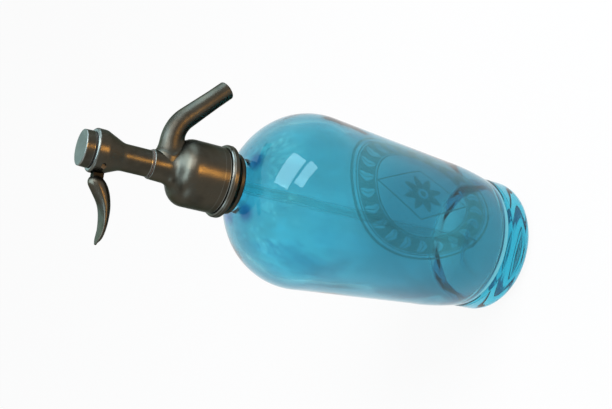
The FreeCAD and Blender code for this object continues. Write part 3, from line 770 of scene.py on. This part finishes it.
def curve_through(rows, share):
    """A row between the rows of a table, on a smooth curve through them. share goes from 0 to 1."""
    spot = share * (len(rows) - 1)
    i = min(int(spot), len(rows) - 2)
    t = spot - i
    a = rows[max(i - 1, 0)]
    b = rows[i]
    c = rows[i + 1]
    d = rows[min(i + 2, len(rows) - 1)]
    out = []
    for p, q, r, s in zip(a, b, c, d):
        square = (2 * p - 5 * q + 4 * r - s) * t ** 2
        cube = (3 * q - p - 3 * r + s) * t ** 3
        out.append(0.5 * (2 * q + (r - p) * t + square + cube))
    return out


def corner_cut(points, times):
    """A closed line with its corners cut off, which rounds it."""
    for _ in range(times):
        cut = []
        for i, p in enumerate(points):
            q = points[(i + 1) % len(points)]
            cut.append(p.lerp(q, 0.25))
            cut.append(p.lerp(q, 0.75))
        points = cut
    return points


def lever_ring(row):
    """One rounded section of the lever's body, as points in millimetres."""
    out, crown, edge, belly, width = row
    half = width / 2
    side = edge - 0.3 * (edge - belly)
    spots = []
    for y, z in (
        (-half, edge), (-0.62 * half, edge + 0.66 * (crown - edge)), (0, crown),
        (0.62 * half, edge + 0.66 * (crown - edge)), (half, edge), (half, side),
        (0.88 * half, side + 0.42 * (belly - side)), (0.5 * half, side + 0.86 * (belly - side)),
        (0, belly - 0.15), (-0.5 * half, side + 0.86 * (belly - side)),
        (-0.88 * half, side + 0.42 * (belly - side)), (-half, side),
    ):
        spots.append(Vector((PIVOT_X - out, y, PIVOT_Z + z)))
    return corner_cut(spots, 2)


def skin(rings):
    """Points and faces of a closed skin over rings of points with as many points each."""
    count = len(rings[0])
    faces = []
    for i in range(len(rings) - 1):
        for j in range(count):
            k = (j + 1) % count
            faces.append((i * count + j, i * count + k, (i + 1) * count + k, (i + 1) * count + j))
    faces.append(tuple(range(count)))
    faces.append(tuple((len(rings) - 1) * count + j for j in range(count)))
    return [p for ring in rings for p in ring], faces


def solid_from_rings(name, rings):
    """A closed solid over rings of points."""
    spots, faces = skin(rings)
    mesh = mesh_of(name, spots, faces)
    close_up(mesh)
    return new_object(name, mesh)


def bar_along_y(name, r, half, x, z, count=48):
    """A round bar along Y."""
    turns = [math.tau * i / count for i in range(count)]
    return slab(name, [(x + r * math.cos(turn), z + r * math.sin(turn)) for turn in turns], half)


def slab(name, corners, half):
    """A flat piece between two planes across Y. corners are its (x, z) points."""
    rings = [[Vector((x, y, z)) for x, z in corners] for y in (-half, half)]
    return solid_from_rings(name, rings)


def combine(piece, tool, operation):
    """Joins the tool to the piece, or cuts it from it, and deletes the tool."""
    modifier = piece.modifiers.new("Combine", "BOOLEAN")
    modifier.operation = operation
    modifier.solver = "EXACT"
    modifier.object = tool
    settle(piece)
    bpy.data.objects.remove(tool)
    return piece


def make_lever():
    """Thumb lever in one cast piece: dished body, neck, hub on the pin and finger."""
    rings = []
    steps = 56
    last = LEVER_STATIONS[-1]
    stations = LEVER_STATIONS[:-1] + ((last[0] - LEVER_TIP_ROUND,) + last[1:],)
    for i in range(steps + 1):
        rings.append(lever_ring(curve_through(stations, i / steps)))
    end = rings[-1]
    middle = sum(end, Vector()) / len(end)
    for i in range(1, 5):
        turn = math.pi / 2 * i / 4.4
        step = Vector((-LEVER_TIP_ROUND * math.sin(turn), 0, 0))
        rings.append([middle + (p - middle) * math.cos(turn) + step for p in end])
    piece = solid_from_rings("thumb_lever", rings)
    first, second = LEVER_STATIONS[0], LEVER_STATIONS[1]
    neck = slab("neck", (
        (PIVOT_X, PIVOT_Z - HUB_R), (PIVOT_X, PIVOT_Z + HUB_R),
        (PIVOT_X - second[0], PIVOT_Z + first[1]), (PIVOT_X - second[0], PIVOT_Z + first[3]),
    ), HUB_HALF_W)
    combine(piece, neck, "UNION")
    combine(piece, bar_along_y("hub", HUB_R, HUB_HALF_W, PIVOT_X, PIVOT_Z), "UNION")
    bar = 0.8 * FINGER_R
    finger = slab("finger", (
        (PIVOT_X, PIVOT_Z - bar), (PIVOT_X, PIVOT_Z + bar), (0, PIVOT_Z + bar), (0, PIVOT_Z - bar),
    ), FINGER_HALF_W)
    combine(piece, finger, "UNION")
    combine(piece, bar_along_y("cam", FINGER_R, FINGER_HALF_W, 0, PIVOT_Z), "UNION")
    combine(piece, bar_along_y("pin_hole", PIN_R, 2 * HUB_HALF_W, PIVOT_X, PIVOT_Z), "DIFFERENCE")
    blend = piece.modifiers.new("Blend", "REMESH")
    blend.mode = "VOXEL"
    blend.voxel_size = LEVER_VOXEL * MM
    blend.use_smooth_shade = True
    soften = piece.modifiers.new("Soften", "SMOOTH")
    soften.factor = 0.5
    soften.iterations = 5
    return settle(piece)


def spout_stations():
    """Centre, direction and outer radius along the spout, from the head to the tip, in millimetres."""
    reach = SPOUT_BEND_R * math.tan(SPOUT_TURN / 2)
    bend_x = SPOUT_CORNER_X - reach
    fall = Vector((math.cos(SPOUT_TURN), 0, -math.sin(SPOUT_TURN)))
    bend_end = Vector((SPOUT_CORNER_X, 0, SPOUT_Z)) + fall * reach
    bend_l = SPOUT_BEND_R * SPOUT_TURN
    total = bend_x + bend_l + SPOUT_FALL - SPOUT_TIP_L
    rows = []

    def add(spot, way, along):
        r = SPOUT_ROOT_R + (SPOUT_TIP_R - SPOUT_ROOT_R) * min(1.0, along / total)
        rows.append((spot, way, r))

    for i in range(STRAIGHT_STEPS):
        x = bend_x * i / STRAIGHT_STEPS
        add(Vector((x, 0, SPOUT_Z)), Vector((1, 0, 0)), x)
    for i in range(BEND_STEPS):
        turn = SPOUT_TURN * i / BEND_STEPS
        x = bend_x + SPOUT_BEND_R * math.sin(turn)
        z = SPOUT_Z - SPOUT_BEND_R * (1 - math.cos(turn))
        add(Vector((x, 0, z)), Vector((math.cos(turn), 0, -math.sin(turn))), bend_x + SPOUT_BEND_R * turn)
    for i in range(FALL_STEPS + 1):
        along = SPOUT_FALL * i / FALL_STEPS
        add(bend_end + fall * along, fall, bend_x + bend_l + along)
    return rows


def head_radius_at(outline, z):
    """Radius of the head's outer outline at a height, in millimetres."""
    for p, q in zip(outline, outline[1:]):
        if min(p.y, q.y) <= z <= max(p.y, q.y) and abs(q.y - p.y) > 1e-6:
            return p.x + (q.x - p.x) * (z - p.y) / (q.y - p.y)
    return outline[0].x if z < outline[0].y else outline[-1].x


def make_spout(flare, flare_reach):
    """Tapered bent tube with a soft fillet where it meets the head, and an open bore."""
    outline = dense(rounded(head_outer()), 0.5)
    count = 72
    rows = spout_stations()
    rings = []

    def ring(spot, way, radius_at):
        side = Vector((-way.z, 0, way.x))
        spots = []
        for j in range(count):
            turn = math.tau * j / count
            r = radius_at(math.cos(turn), math.sin(turn))
            spots.append(spot + side * (r * math.cos(turn)) + Vector((0, r * math.sin(turn), 0)))
        return spots

    def outer(spot, r):
        def radius_at(cos, sin):
            wall = head_radius_at(outline, spot.z + r * cos)
            start = math.sqrt(max(wall ** 2 - (r * sin) ** 2, 0.0))
            past = max(0.0, spot.x - start)
            return r + flare * math.exp(-past / flare_reach)
        return radius_at

    for spot, way, r in rows:
        rings.append(ring(spot, way, outer(spot, r)))
    rings.pop()
    tip, way, r = rows[-1]
    for lift, share in SPOUT_LIP:
        rings.append(ring(tip + way * lift, way, lambda c, s, k=share: r * k))
    rings.append(ring(tip, way, lambda c, s: SPOUT_BORE_R + SPOUT_CHAMFER))
    rings.append(ring(tip - way * SPOUT_CHAMFER, way, lambda c, s: SPOUT_BORE_R))
    for spot, way, _ in rows[-3:STRAIGHT_STEPS + 2:-2]:
        rings.append(ring(spot, way, lambda c, s: SPOUT_BORE_R))
    piece = solid_from_rings("spout_tube", rings)
    core = dense(rounded([(0, CUP_Z)] + head_outer() + [(0, SOCKET_Z)]), 2.0)
    cutter = turned_piece("head_core", core, [0.0] * len(core), {"Segments": 160})
    return combine(piece, cutter, "DIFFERENCE")


def eased(value, low, high):
    """0 at low and before it, 1 at high and past it, straight between."""
    return min(1.0, max(0.0, (value - low) / (high - low)))


def make_glass(look):
    """The whole bottle: a smooth outer face, and an inner one that wanders between its floor and its neck."""
    outer = dense(bottle_outer(), GLASS_STEP)
    inner = dense(bottle_inner(), GLASS_STEP)
    waves = [OUTER_WAVES if FOOT_H + 4 < p.y < BEAD_Z - 12 else 0.0 for p in outer]
    waves += [eased(p.y, 18, 30) * eased(p.y, 202, 177) for p in inner]
    return turned_piece("glass_shell", outer + inner, waves, {
        "Segments": look.segments,
        "Wave Depth": look.wave_depth,
        "Wave Size": look.wave_size,
        "Wave Stretch": 1.6,
        "Seed": 4.0,
    }, [1.0] * len(outer) + [0.0] * len(inner))


def make_head(look):
    """Cup, dome, valve chamber and socket in one turned casting with slight dents."""
    inside = [
        (GLAND_R, SOCKET_Z), (GLAND_R, GLAND_Z), (CHAMBER_R, GLAND_Z), (CHAMBER_R, CHAMBER_Z),
        (SEAT_HOLE_R, CHAMBER_Z), (SEAT_HOLE_R, CEILING_Z), (CUP_IN_R, CEILING_Z), (CUP_IN_R, CUP_Z),
    ]
    outline = head_outer()
    start = (CUP_R, CUP_Z + 3.0)
    points = rounded([start] + outline[1:] + inside + [outline[0], start])
    line = dense(points[:-1], 1.2, True)

    def dented(p):
        """1 on the outer face away from its rims, 0 elsewhere."""
        skin_deep = p.x > max(head_radius_at(line, p.y) - 9, GLAND_R + 0.5)
        between = CUP_Z + 3 < p.y < SOCKET_Z - 2
        return 1.0 if skin_deep and between and (p.x > CUP_IN_R + 1 or p.y > DOME_Z + 1) else 0.0

    return turned_piece("head_casting", line, [dented(p) for p in line], {
        "Segments": 160,
        "Wave Depth": look.dent_depth,
        "Wave Size": 0.011,
        "Wave Stretch": 1.0,
        "Seed": 2.0,
    })


def bubble_tree():
    """Small round bubbles at random places inside the tapered wall of the bottle."""
    t = Tree("Glass bubbles")
    t.socket("Count", "NodeSocketInt", 90)
    t.socket("Size", "NodeSocketFloat", 0.0004)
    t.socket("Low", "NodeSocketFloat", 0.035)
    t.socket("High", "NodeSocketFloat", 0.15)
    t.socket("Seed", "NodeSocketInt", 3)
    t.socket("Material", "NodeSocketMaterial")

    def chance(low, high, shift):
        """A random number from low to high for each bubble. The shift tells the draws apart."""
        return t.node("FunctionNodeRandomValue", {"data_type": "FLOAT"}, {
            "Min": low, "Max": high, "Seed": t.get("Seed") + shift}, out=1)

    cloud = t.node("GeometryNodePoints", None, {"Count": t.get("Count")})
    turn = chance(0.0, math.tau, 1)
    low = t.get("Low")
    height = low + chance(0.0, 1.0, 2) * (t.get("High") - low)
    slope = (BODY_MAX_R - BODY_LOW_R) / (SHOULDER_Z - BODY_LOW_Z)
    wall_at_zero = (BODY_LOW_R - slope * BODY_LOW_Z - GLASS_WALL / 2) * MM
    r = height * slope + wall_at_zero + chance(-0.0012, 0.0012, 3)
    spot = t.node("ShaderNodeCombineXYZ", None, {
        0: r * turn.math("COSINE"), 1: r * turn.math("SINE"), 2: height})
    placed = t.node("GeometryNodeSetPosition", None, {"Geometry": cloud, "Position": spot})
    ball = t.node("GeometryNodeMeshIcoSphere", None, {"Radius": t.get("Size"), "Subdivisions": 2})
    smooth = t.node("GeometryNodeSetShadeSmooth", None, {"Geometry": ball})
    size = t.node("ShaderNodeCombineXYZ", None, {
        0: chance(0.4, 1.0, 4), 1: chance(0.4, 1.0, 4), 2: chance(0.5, 1.8, 5)})
    balls = t.node("GeometryNodeInstanceOnPoints", None, {
        "Points": placed, "Instance": smooth, "Scale": size})
    return t.finish(balls)


def bubble_finish():
    """The inside of a bubble: air in glass, with a faint tint that varies."""
    f = Finish("bubble")
    tone = f.noise(0.02, 1.0, seed=1.0)
    return f.surface({
        "Base Color": f.mix(tone, (0.85, 0.95, 0.97, 1.0), (0.70, 0.88, 0.92, 1.0)),
        "Roughness": 0.0,
        "IOR": 1 / 1.5,
        "Transmission Weight": 1.0,
    })


# Stage

def metal_group():
    """The collection of the metal and its fittings. Five of the lamps light it alone, and not the glass."""
    name = "fittings_light"
    return bpy.data.collections.get(name) or bpy.data.collections.new(name)


def lamp(name, place, target, wide, tall, level, colour, roll=0.0, shift=(0.0, 0.0)):
    """A soft rectangular lamp that shines from place to target. level is its radiance. It is rolled about
    its own axis, in degrees, and then shifted in its own plane."""
    light = bpy.data.lights.new(name, "AREA")
    light.shape = "RECTANGLE"
    light.size = wide
    light.size_y = tall
    light.energy = level * math.pi * wide * tall
    light.color = colour
    stand = bpy.data.objects.new(name, light)
    bpy.context.scene.collection.objects.link(stand)
    aim = (Vector(target) - Vector(place)).to_track_quat("-Z", "Y")
    turn = aim @ Euler((0, 0, math.radians(roll))).to_quaternion()
    stand.location = Vector(place) + turn @ Vector((shift[0], shift[1], 0))
    stand.rotation_euler = turn.to_euler()
    stand.visible_camera = False
    stand.visible_transmission = False
    return stand


def make_camera():
    """The photograph's viewpoint: raised, turned on its side, looking down at the siphon."""
    side = math.radians(CAMERA_SIDE)
    dip = math.radians(CAMERA_DIP)
    roll = math.radians(CAMERA_ROLL)
    away = Vector((math.sin(side), math.cos(side), 0))
    right = Vector((away.y, -away.x, 0))
    look = away * math.cos(dip) + Vector((0, 0, -math.sin(dip)))
    up = right.cross(look)
    cam_right = right * math.sin(roll) - up * math.cos(roll)
    cam_up = right * math.cos(roll) + up * math.sin(roll)
    place = -away * CAMERA_AWAY + Vector((0, 0, CAMERA_HEIGHT)) - right * CAMERA_SHIFT
    camera = bpy.data.cameras.new("photo_camera")
    camera.sensor_width = SENSOR_W
    camera.lens = CAMERA_FOCUS * SENSOR_W
    camera.clip_start = 0.01
    stand = bpy.data.objects.new("photo_camera", camera)
    bpy.context.scene.collection.objects.link(stand)
    turn = Matrix((cam_right, cam_up, -look)).transposed().to_4x4()
    stand.matrix_world = Matrix.Translation(place) @ turn
    bpy.context.scene.camera = stand


def seen_rays(nodes):
    """1 for camera, glossy and transmission rays, which see the pale background."""
    path = nodes.tree.nodes.new("ShaderNodeLightPath").outputs
    camera, glossy, through = (Flow(nodes, path["Is %s Ray" % kind]) for kind in (
        "Camera", "Glossy", "Transmission"))
    return camera.math("MAXIMUM", glossy).math("MAXIMUM", through)


def make_world(light):
    """Even air light on the object, and white for the rays that see the background."""
    world = bpy.data.worlds.new("studio_air")
    bpy.context.scene.world = world
    world.use_nodes = True
    world.node_tree.nodes.clear()
    air = Nodes(world.node_tree)
    soft = air.node("ShaderNodeBackground", None, {"Color": (0.92, 0.97, 1.0, 1.0), "Strength": light})
    white = air.node("ShaderNodeBackground", None, {"Color": (1.0, 1.0, 1.0, 1.0), "Strength": 1.0})
    mix = air.node("ShaderNodeMixShader", None, {0: seen_rays(air), 1: soft, 2: white})
    air.end("ShaderNodeOutputWorld", {"Surface": mix})


def make_floor(colour, glow):
    """A wide pale floor. The part of it that glow gives is white to the rays that see it; the rest is lit,
    and keeps the shadow."""
    signs = ((-1, -1), (1, -1), (1, 1), (-1, 1))
    mesh = bpy.data.meshes.new("floor")
    mesh.from_pydata([(FLOOR_REACH * a, FLOOR_REACH * b, -FLOOR_DROP) for a, b in signs], [], [(0, 1, 2, 3)])
    floor = new_object("floor", mesh)
    f = Finish("floor")
    lit = f.node("ShaderNodeBsdfPrincipled", None, {
        "Base Color": f.mix(f.noise(0.4, 2.0) * 0.3, rgba(colour), rgba([c * 0.97 for c in colour])),
        "Roughness": 0.9,
        "Specular IOR Level": 0.1,
    })
    white = f.node("ShaderNodeEmission", None, {"Color": (1, 1, 1, 1), "Strength": 1.0})
    mix = f.node("ShaderNodeMixShader", None, {0: seen_rays(f) * glow, 1: lit, 2: white})
    f.end("ShaderNodeOutputMaterial", {"Surface": mix})
    mesh.materials.append(f.material)


# What a user may change

def tint(name, description, default):
    """A colour in the panel."""
    return bpy.props.FloatVectorProperty(
        name=name, description=description, default=default, subtype="COLOR", size=3)


def length(name, description, default, low=0.0, high=1.0):
    """A length in the panel, in metres."""
    return bpy.props.FloatProperty(
        name=name, description=description, default=default, min=low, max=high, precision=5, unit="LENGTH")


def level(name, description, default, high=1.0):
    """A plain number in the panel, from 0 to high."""
    return bpy.props.FloatProperty(name=name, description=description, default=default, min=0.0, max=high)


class SiphonGlassSettings(bpy.types.PropertyGroup):
    segments: bpy.props.IntProperty(
        name="Segments", description="Steps round the bottle", default=144, min=48, max=256)
    wave_depth: length("Wave Depth", "How far the blown inner wall wanders", 0.0010, high=0.002)
    wave_size: length("Wave Size", "Length of one wave in the wall", 0.030, low=0.01, high=0.1)
    bubbles: bpy.props.IntProperty(
        name="Bubbles", description="Number of bubbles in the wall", default=90, min=0, max=400)
    bubble_size: length("Bubble Size", "Radius of the largest bubbles", 0.0004, low=0.0001, high=0.001)
    glass_colour: tint("Glass", "Tint of the glass", (0.25, 0.72, 0.84))
    glass_shade: tint("Glass Shade", "Tint of its greener clouds", (0.24, 0.60, 0.68))
    fold_colour: tint("Folds", "Tint of the dark folds", (0.14, 0.46, 0.60))
    light_colour: tint("Light Folds", "Tint of the light folds", (0.27, 0.80, 0.95))
    # Painted light: colour of the pale streaks that stand in for caustics round the neck
    painted_light_streak_colour: tint("Neck Streaks", "Tint of the light streaks round the neck", (0.62, 0.98, 1.0))
    deep_colour: tint("Lower Glass", "Tint of the thicker lower wall", (0.16, 0.50, 0.60))
    heel_colour: tint("Heel", "Tint of the wall over the foot", (0.09, 0.36, 0.46))
    foot_colour: tint("Foot", "Tint of the foot", (0.72, 0.98, 1.0))
    neck_colour: tint("Neck", "Tint of the thick glass at the neck", (0.17, 0.50, 0.66))
    # Painted shade: colour of the dark spots at the neck
    neck_shade_colour: tint("Drops", "Tint of the thick drops at the neck", (0.015, 0.08, 0.32))
    rim_colour: tint("Rim", "Tint of the glass seen along the wall", (0.05, 0.25, 0.36))
    etch_colour: tint("Frost", "Tint of the frosted ornament", (0.09, 0.24, 0.23))
    wall_colour: tint("Wall", "Colour that thick glass goes to", (0.154, 0.815, 0.892))
    wall_density: level("Wall Density", "How fast thick glass darkens, per metre", 42.0, 400.0)


class SiphonOrnamentSettings(bpy.types.PropertyGroup):
    height: length("Height", "Height of the ornament's middle", 0.100)
    tall: length("Tall", "Height of the wreath", 0.112, low=0.01)
    width: length("Width", "Width of the wreath along the glass", 0.086, low=0.01)
    angle: bpy.props.FloatProperty(
        name="Angle", description="Direction in plan that the ornament faces", default=math.radians(13.0),
        unit="ROTATION")
    strength: level("Strength", "How strong the frost is", 1.0)


class SiphonMetalSettings(bpy.types.PropertyGroup):
    metal_colour: tint("Metal", "Colour of the cast metal", (0.054, 0.047, 0.034))
    patina_colour: tint("Patina", "Colour of its patina", (0.046, 0.050, 0.043))
    dent_depth: length("Dent Depth", "How uneven the casting is", 0.00005, high=0.001)
    flare: level("Fillet", "How far the spout widens at the head, in millimetres", 2.0, 5.0)
    flare_reach: level("Fillet Reach", "How fast the fillet fades, in millimetres", 2.4, 10.0)


class SiphonStageSettings(bpy.types.PropertyGroup):
    floor_colour: tint("Floor", "Colour of the floor", (0.9, 0.9, 0.9))
    floor_glow: level("Floor White", "Share of the floor that stays white", 0.93)
    air_light: level("Air Light", "Level of the even light", 0.50, 2.0)
    window_light: level("Window Light", "Level of the two front window lamps", 7.0, 20.0)
    back_light: level("Back Light", "Level of the cool lamp behind", 5.5, 20.0)
    top_light: level("Top Light", "Level of the cool lamp overhead", 9.5, 20.0)
    side_light: level("Side Light", "Level of the cool lamps at both sides", 7.0, 20.0)
    warm_light: level("Warm Light", "Level of the low warm lamp", 24.0, 60.0)


# Operators

class SIPHON_OT_bottle(bpy.types.Operator):
    """Makes the blue glass bottle with its frosted ornament"""
    bl_idname = "siphon.bottle"
    bl_label = "Glass Bottle"

    def execute(self, context):
        look = context.scene.siphon_glass
        glass = blue_glass(look, context.scene.siphon_ornament)
        dress(make_glass(look), glass, "blue_glass", "siphon", "glass_bottle")
        return {"FINISHED"}


class SIPHON_OT_bubbles(bpy.types.Operator):
    """Makes the small bubbles in the glass wall"""
    bl_idname = "siphon.bubbles"
    bl_label = "Bubbles"

    def execute(self, context):
        look = context.scene.siphon_glass
        material = bubble_finish()
        piece = new_object("glass_bubbles", mesh_of("glass_bubbles", []))
        run_tree(piece, bubble_tree(), {
            "Count": look.bubbles, "Size": look.bubble_size, "Seed": 3, "Material": material})
        dress(piece, material, "blue_glass", "siphon")
        return {"FINISHED"}


class SIPHON_OT_head(bpy.types.Operator):
    """Makes the head casting: cup, dome and socket"""
    bl_idname = "siphon.head"
    bl_label = "Head Casting"

    def execute(self, context):
        look = context.scene.siphon_metal
        piece = make_head(look)
        sharpen(piece)
        dress(piece, cast_metal("head_metal", look, HEAD_WEAR_HIGHLIGHTS, 0.8), "aged_metal", "siphon", "head_body")
        metal_group().objects.link(piece)
        return {"FINISHED"}


class SIPHON_OT_spout(bpy.types.Operator):
    """Makes the bent spout"""
    bl_idname = "siphon.spout"
    bl_label = "Spout"

    def execute(self, context):
        look = context.scene.siphon_metal
        piece = make_spout(look.flare, look.flare_reach)
        sharpen(piece)
        dress(piece, cast_metal("spout_metal", look), "aged_metal", "siphon", "spout")
        metal_group().objects.link(piece)
        return {"FINISHED"}


class SIPHON_OT_lever(bpy.types.Operator):
    """Makes the thumb lever"""
    bl_idname = "siphon.lever"
    bl_label = "Thumb Lever"

    def execute(self, context):
        look = context.scene.siphon_metal
        piece = make_lever()
        # The lever's pivot end gets painted shade
        metal = cast_metal("lever_metal", look, dents=0.6, painted_shade_x=LEVER_PAINTED_SHADE_X)
        dress(piece, metal, "aged_metal", "lever", "lever")
        metal_group().objects.link(piece)
        return {"FINISHED"}


class SIPHON_OT_fittings(bpy.types.Operator):
    """Gives the frame's own pieces their materials"""
    bl_idname = "siphon.fittings"
    bl_label = "Fittings"

    def execute(self, context):
        look = context.scene.siphon_metal
        collar = cast_metal("collar_metal", look, COLLAR_WEAR_HIGHLIGHTS, 0.8)
        column = cast_metal("column_metal", look, COLUMN_WEAR_HIGHLIGHTS, 0.8)
        cap = cast_metal("cap_metal", look, CAP_WEAR_HIGHLIGHTS, 0.6)
        brass = plain_metal("turned_brass", (0.55, 0.40, 0.17), 0.26)
        pin = plain_metal("pin_metal", (0.050, 0.045, 0.035), 0.50)
        steel = plain_metal("dull_steel", (0.34, 0.33, 0.31), 0.34)
        leather = soft_ring("leather", (0.05, 0.034, 0.024), 0.66, 0.0006)
        rubber = soft_ring("rubber", (0.045, 0.040, 0.038), 0.58, 0.0008)
        glass = clear_tube()
        finishes = {
            "collar_half_front": collar, "collar_half_back": collar, "column": column, "head_cap": cap,
            "dip_tube": glass, "lever_pin": pin, "return_spring": steel,
            "seat_insert": brass, "gland_ring": brass, "valve_rod": brass, "rod_yoke": brass,
            "valve_holder": brass, "washer_screw": brass, "spring_washer": brass,
            "collar_pad": leather, "packing_washer": leather, "column_washer": leather, "cap_washer": leather,
            "tube_bush": rubber, "mouth_gasket": rubber, "valve_washer": rubber,
        }
        for node, material in finishes.items():
            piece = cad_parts[node]
            piece.data.materials.clear()
            piece.data.materials.append(material)
            metal_group().objects.link(piece)
        return {"FINISHED"}


class SIPHON_OT_stage(bpy.types.Operator):
    """Sets up the floor, the soft lamps and the camera"""
    bl_idname = "siphon.stage"
    bl_label = "Stage"

    def execute(self, context):
        stage = context.scene.siphon_stage
        context.scene.view_settings.view_transform = "Standard"
        make_camera()
        make_world(stage.air_light)
        make_floor(stage.floor_colour, stage.floor_glow)
        for name, wide, tall, shift in (
            ("window_near", 0.24, 0.60, (-0.20, -0.12)),
            ("window_far", 0.40, 0.72, (0.18, 0.02)),
        ):
            lamp(name, WINDOW_PLACE, BODY_TARGET, wide, tall, stage.window_light, WINDOW_TINT,
                 WINDOW_ROLL, shift)
        for name, place, aim_z, wide, tall, level, tint in (
            ("back_window", (0.20, 0.78, 0.66), 0.27, 0.80, 0.40, stage.back_light, SKY_TINT),
            ("top_window", (0.16, -0.02, 1.00), 0.24, 0.80, 0.85, stage.top_light, SKY_TINT),
            ("right_window", (0.82, 0.02, 0.50), 0.26, 0.90, 0.40, stage.side_light, SKY_TINT),
            ("left_window", (-0.80, -0.10, 0.50), 0.26, 0.40, 0.36, stage.side_light * 0.4, SKY_TINT),
            ("warm_lamp", (0.045, -0.31, 0.165), 0.26, 0.08, 0.12, stage.warm_light, WARM_TINT),
        ):
            light = lamp(name, place, (0, 0, aim_z), wide, tall, level, tint)
            light.light_linking.receiver_collection = metal_group()
        return {"FINISHED"}


class SIPHON_PT_panel(bpy.types.Panel):
    """The siphon's pieces, in the sidebar"""
    bl_idname = "SIPHON_PT_panel"
    bl_label = "Soda Siphon"
    bl_space_type = "VIEW_3D"
    bl_region_type = "UI"
    bl_category = "Siphon"

    def draw(self, context):
        layout = self.layout
        for settings in ("siphon_glass", "siphon_ornament", "siphon_metal", "siphon_stage"):
            group = getattr(context.scene, settings)
            box = layout.box()
            for name in group.__annotations__:
                box.prop(group, name)
        for operator in OPERATORS:
            layout.operator(operator.bl_idname)


SETTINGS = {
    "siphon_glass": SiphonGlassSettings,
    "siphon_ornament": SiphonOrnamentSettings,
    "siphon_metal": SiphonMetalSettings,
    "siphon_stage": SiphonStageSettings,
}
OPERATORS = (
    SIPHON_OT_stage,
    SIPHON_OT_bottle,
    SIPHON_OT_bubbles,
    SIPHON_OT_head,
    SIPHON_OT_spout,
    SIPHON_OT_lever,
    SIPHON_OT_fittings,
)


def register():
    for name, group in SETTINGS.items():
        bpy.utils.register_class(group)
        setattr(bpy.types.Scene, name, bpy.props.PointerProperty(type=group))
    for operator in OPERATORS:
        bpy.utils.register_class(operator)
    bpy.utils.register_class(SIPHON_PT_panel)


def unregister():
    bpy.utils.unregister_class(SIPHON_PT_panel)
    for operator in reversed(OPERATORS):
        bpy.utils.unregister_class(operator)
    for name, group in SETTINGS.items():
        delattr(bpy.types.Scene, name)
        bpy.utils.unregister_class(group)


def main():
    """Makes the whole siphon and its stage."""
    register()
    bpy.ops.siphon.stage()
    bpy.ops.siphon.bottle()
    bpy.ops.siphon.bubbles()
    bpy.ops.siphon.head()
    bpy.ops.siphon.spout()
    bpy.ops.siphon.lever()
    bpy.ops.siphon.fittings()


if __name__ == "__main__":
    main()
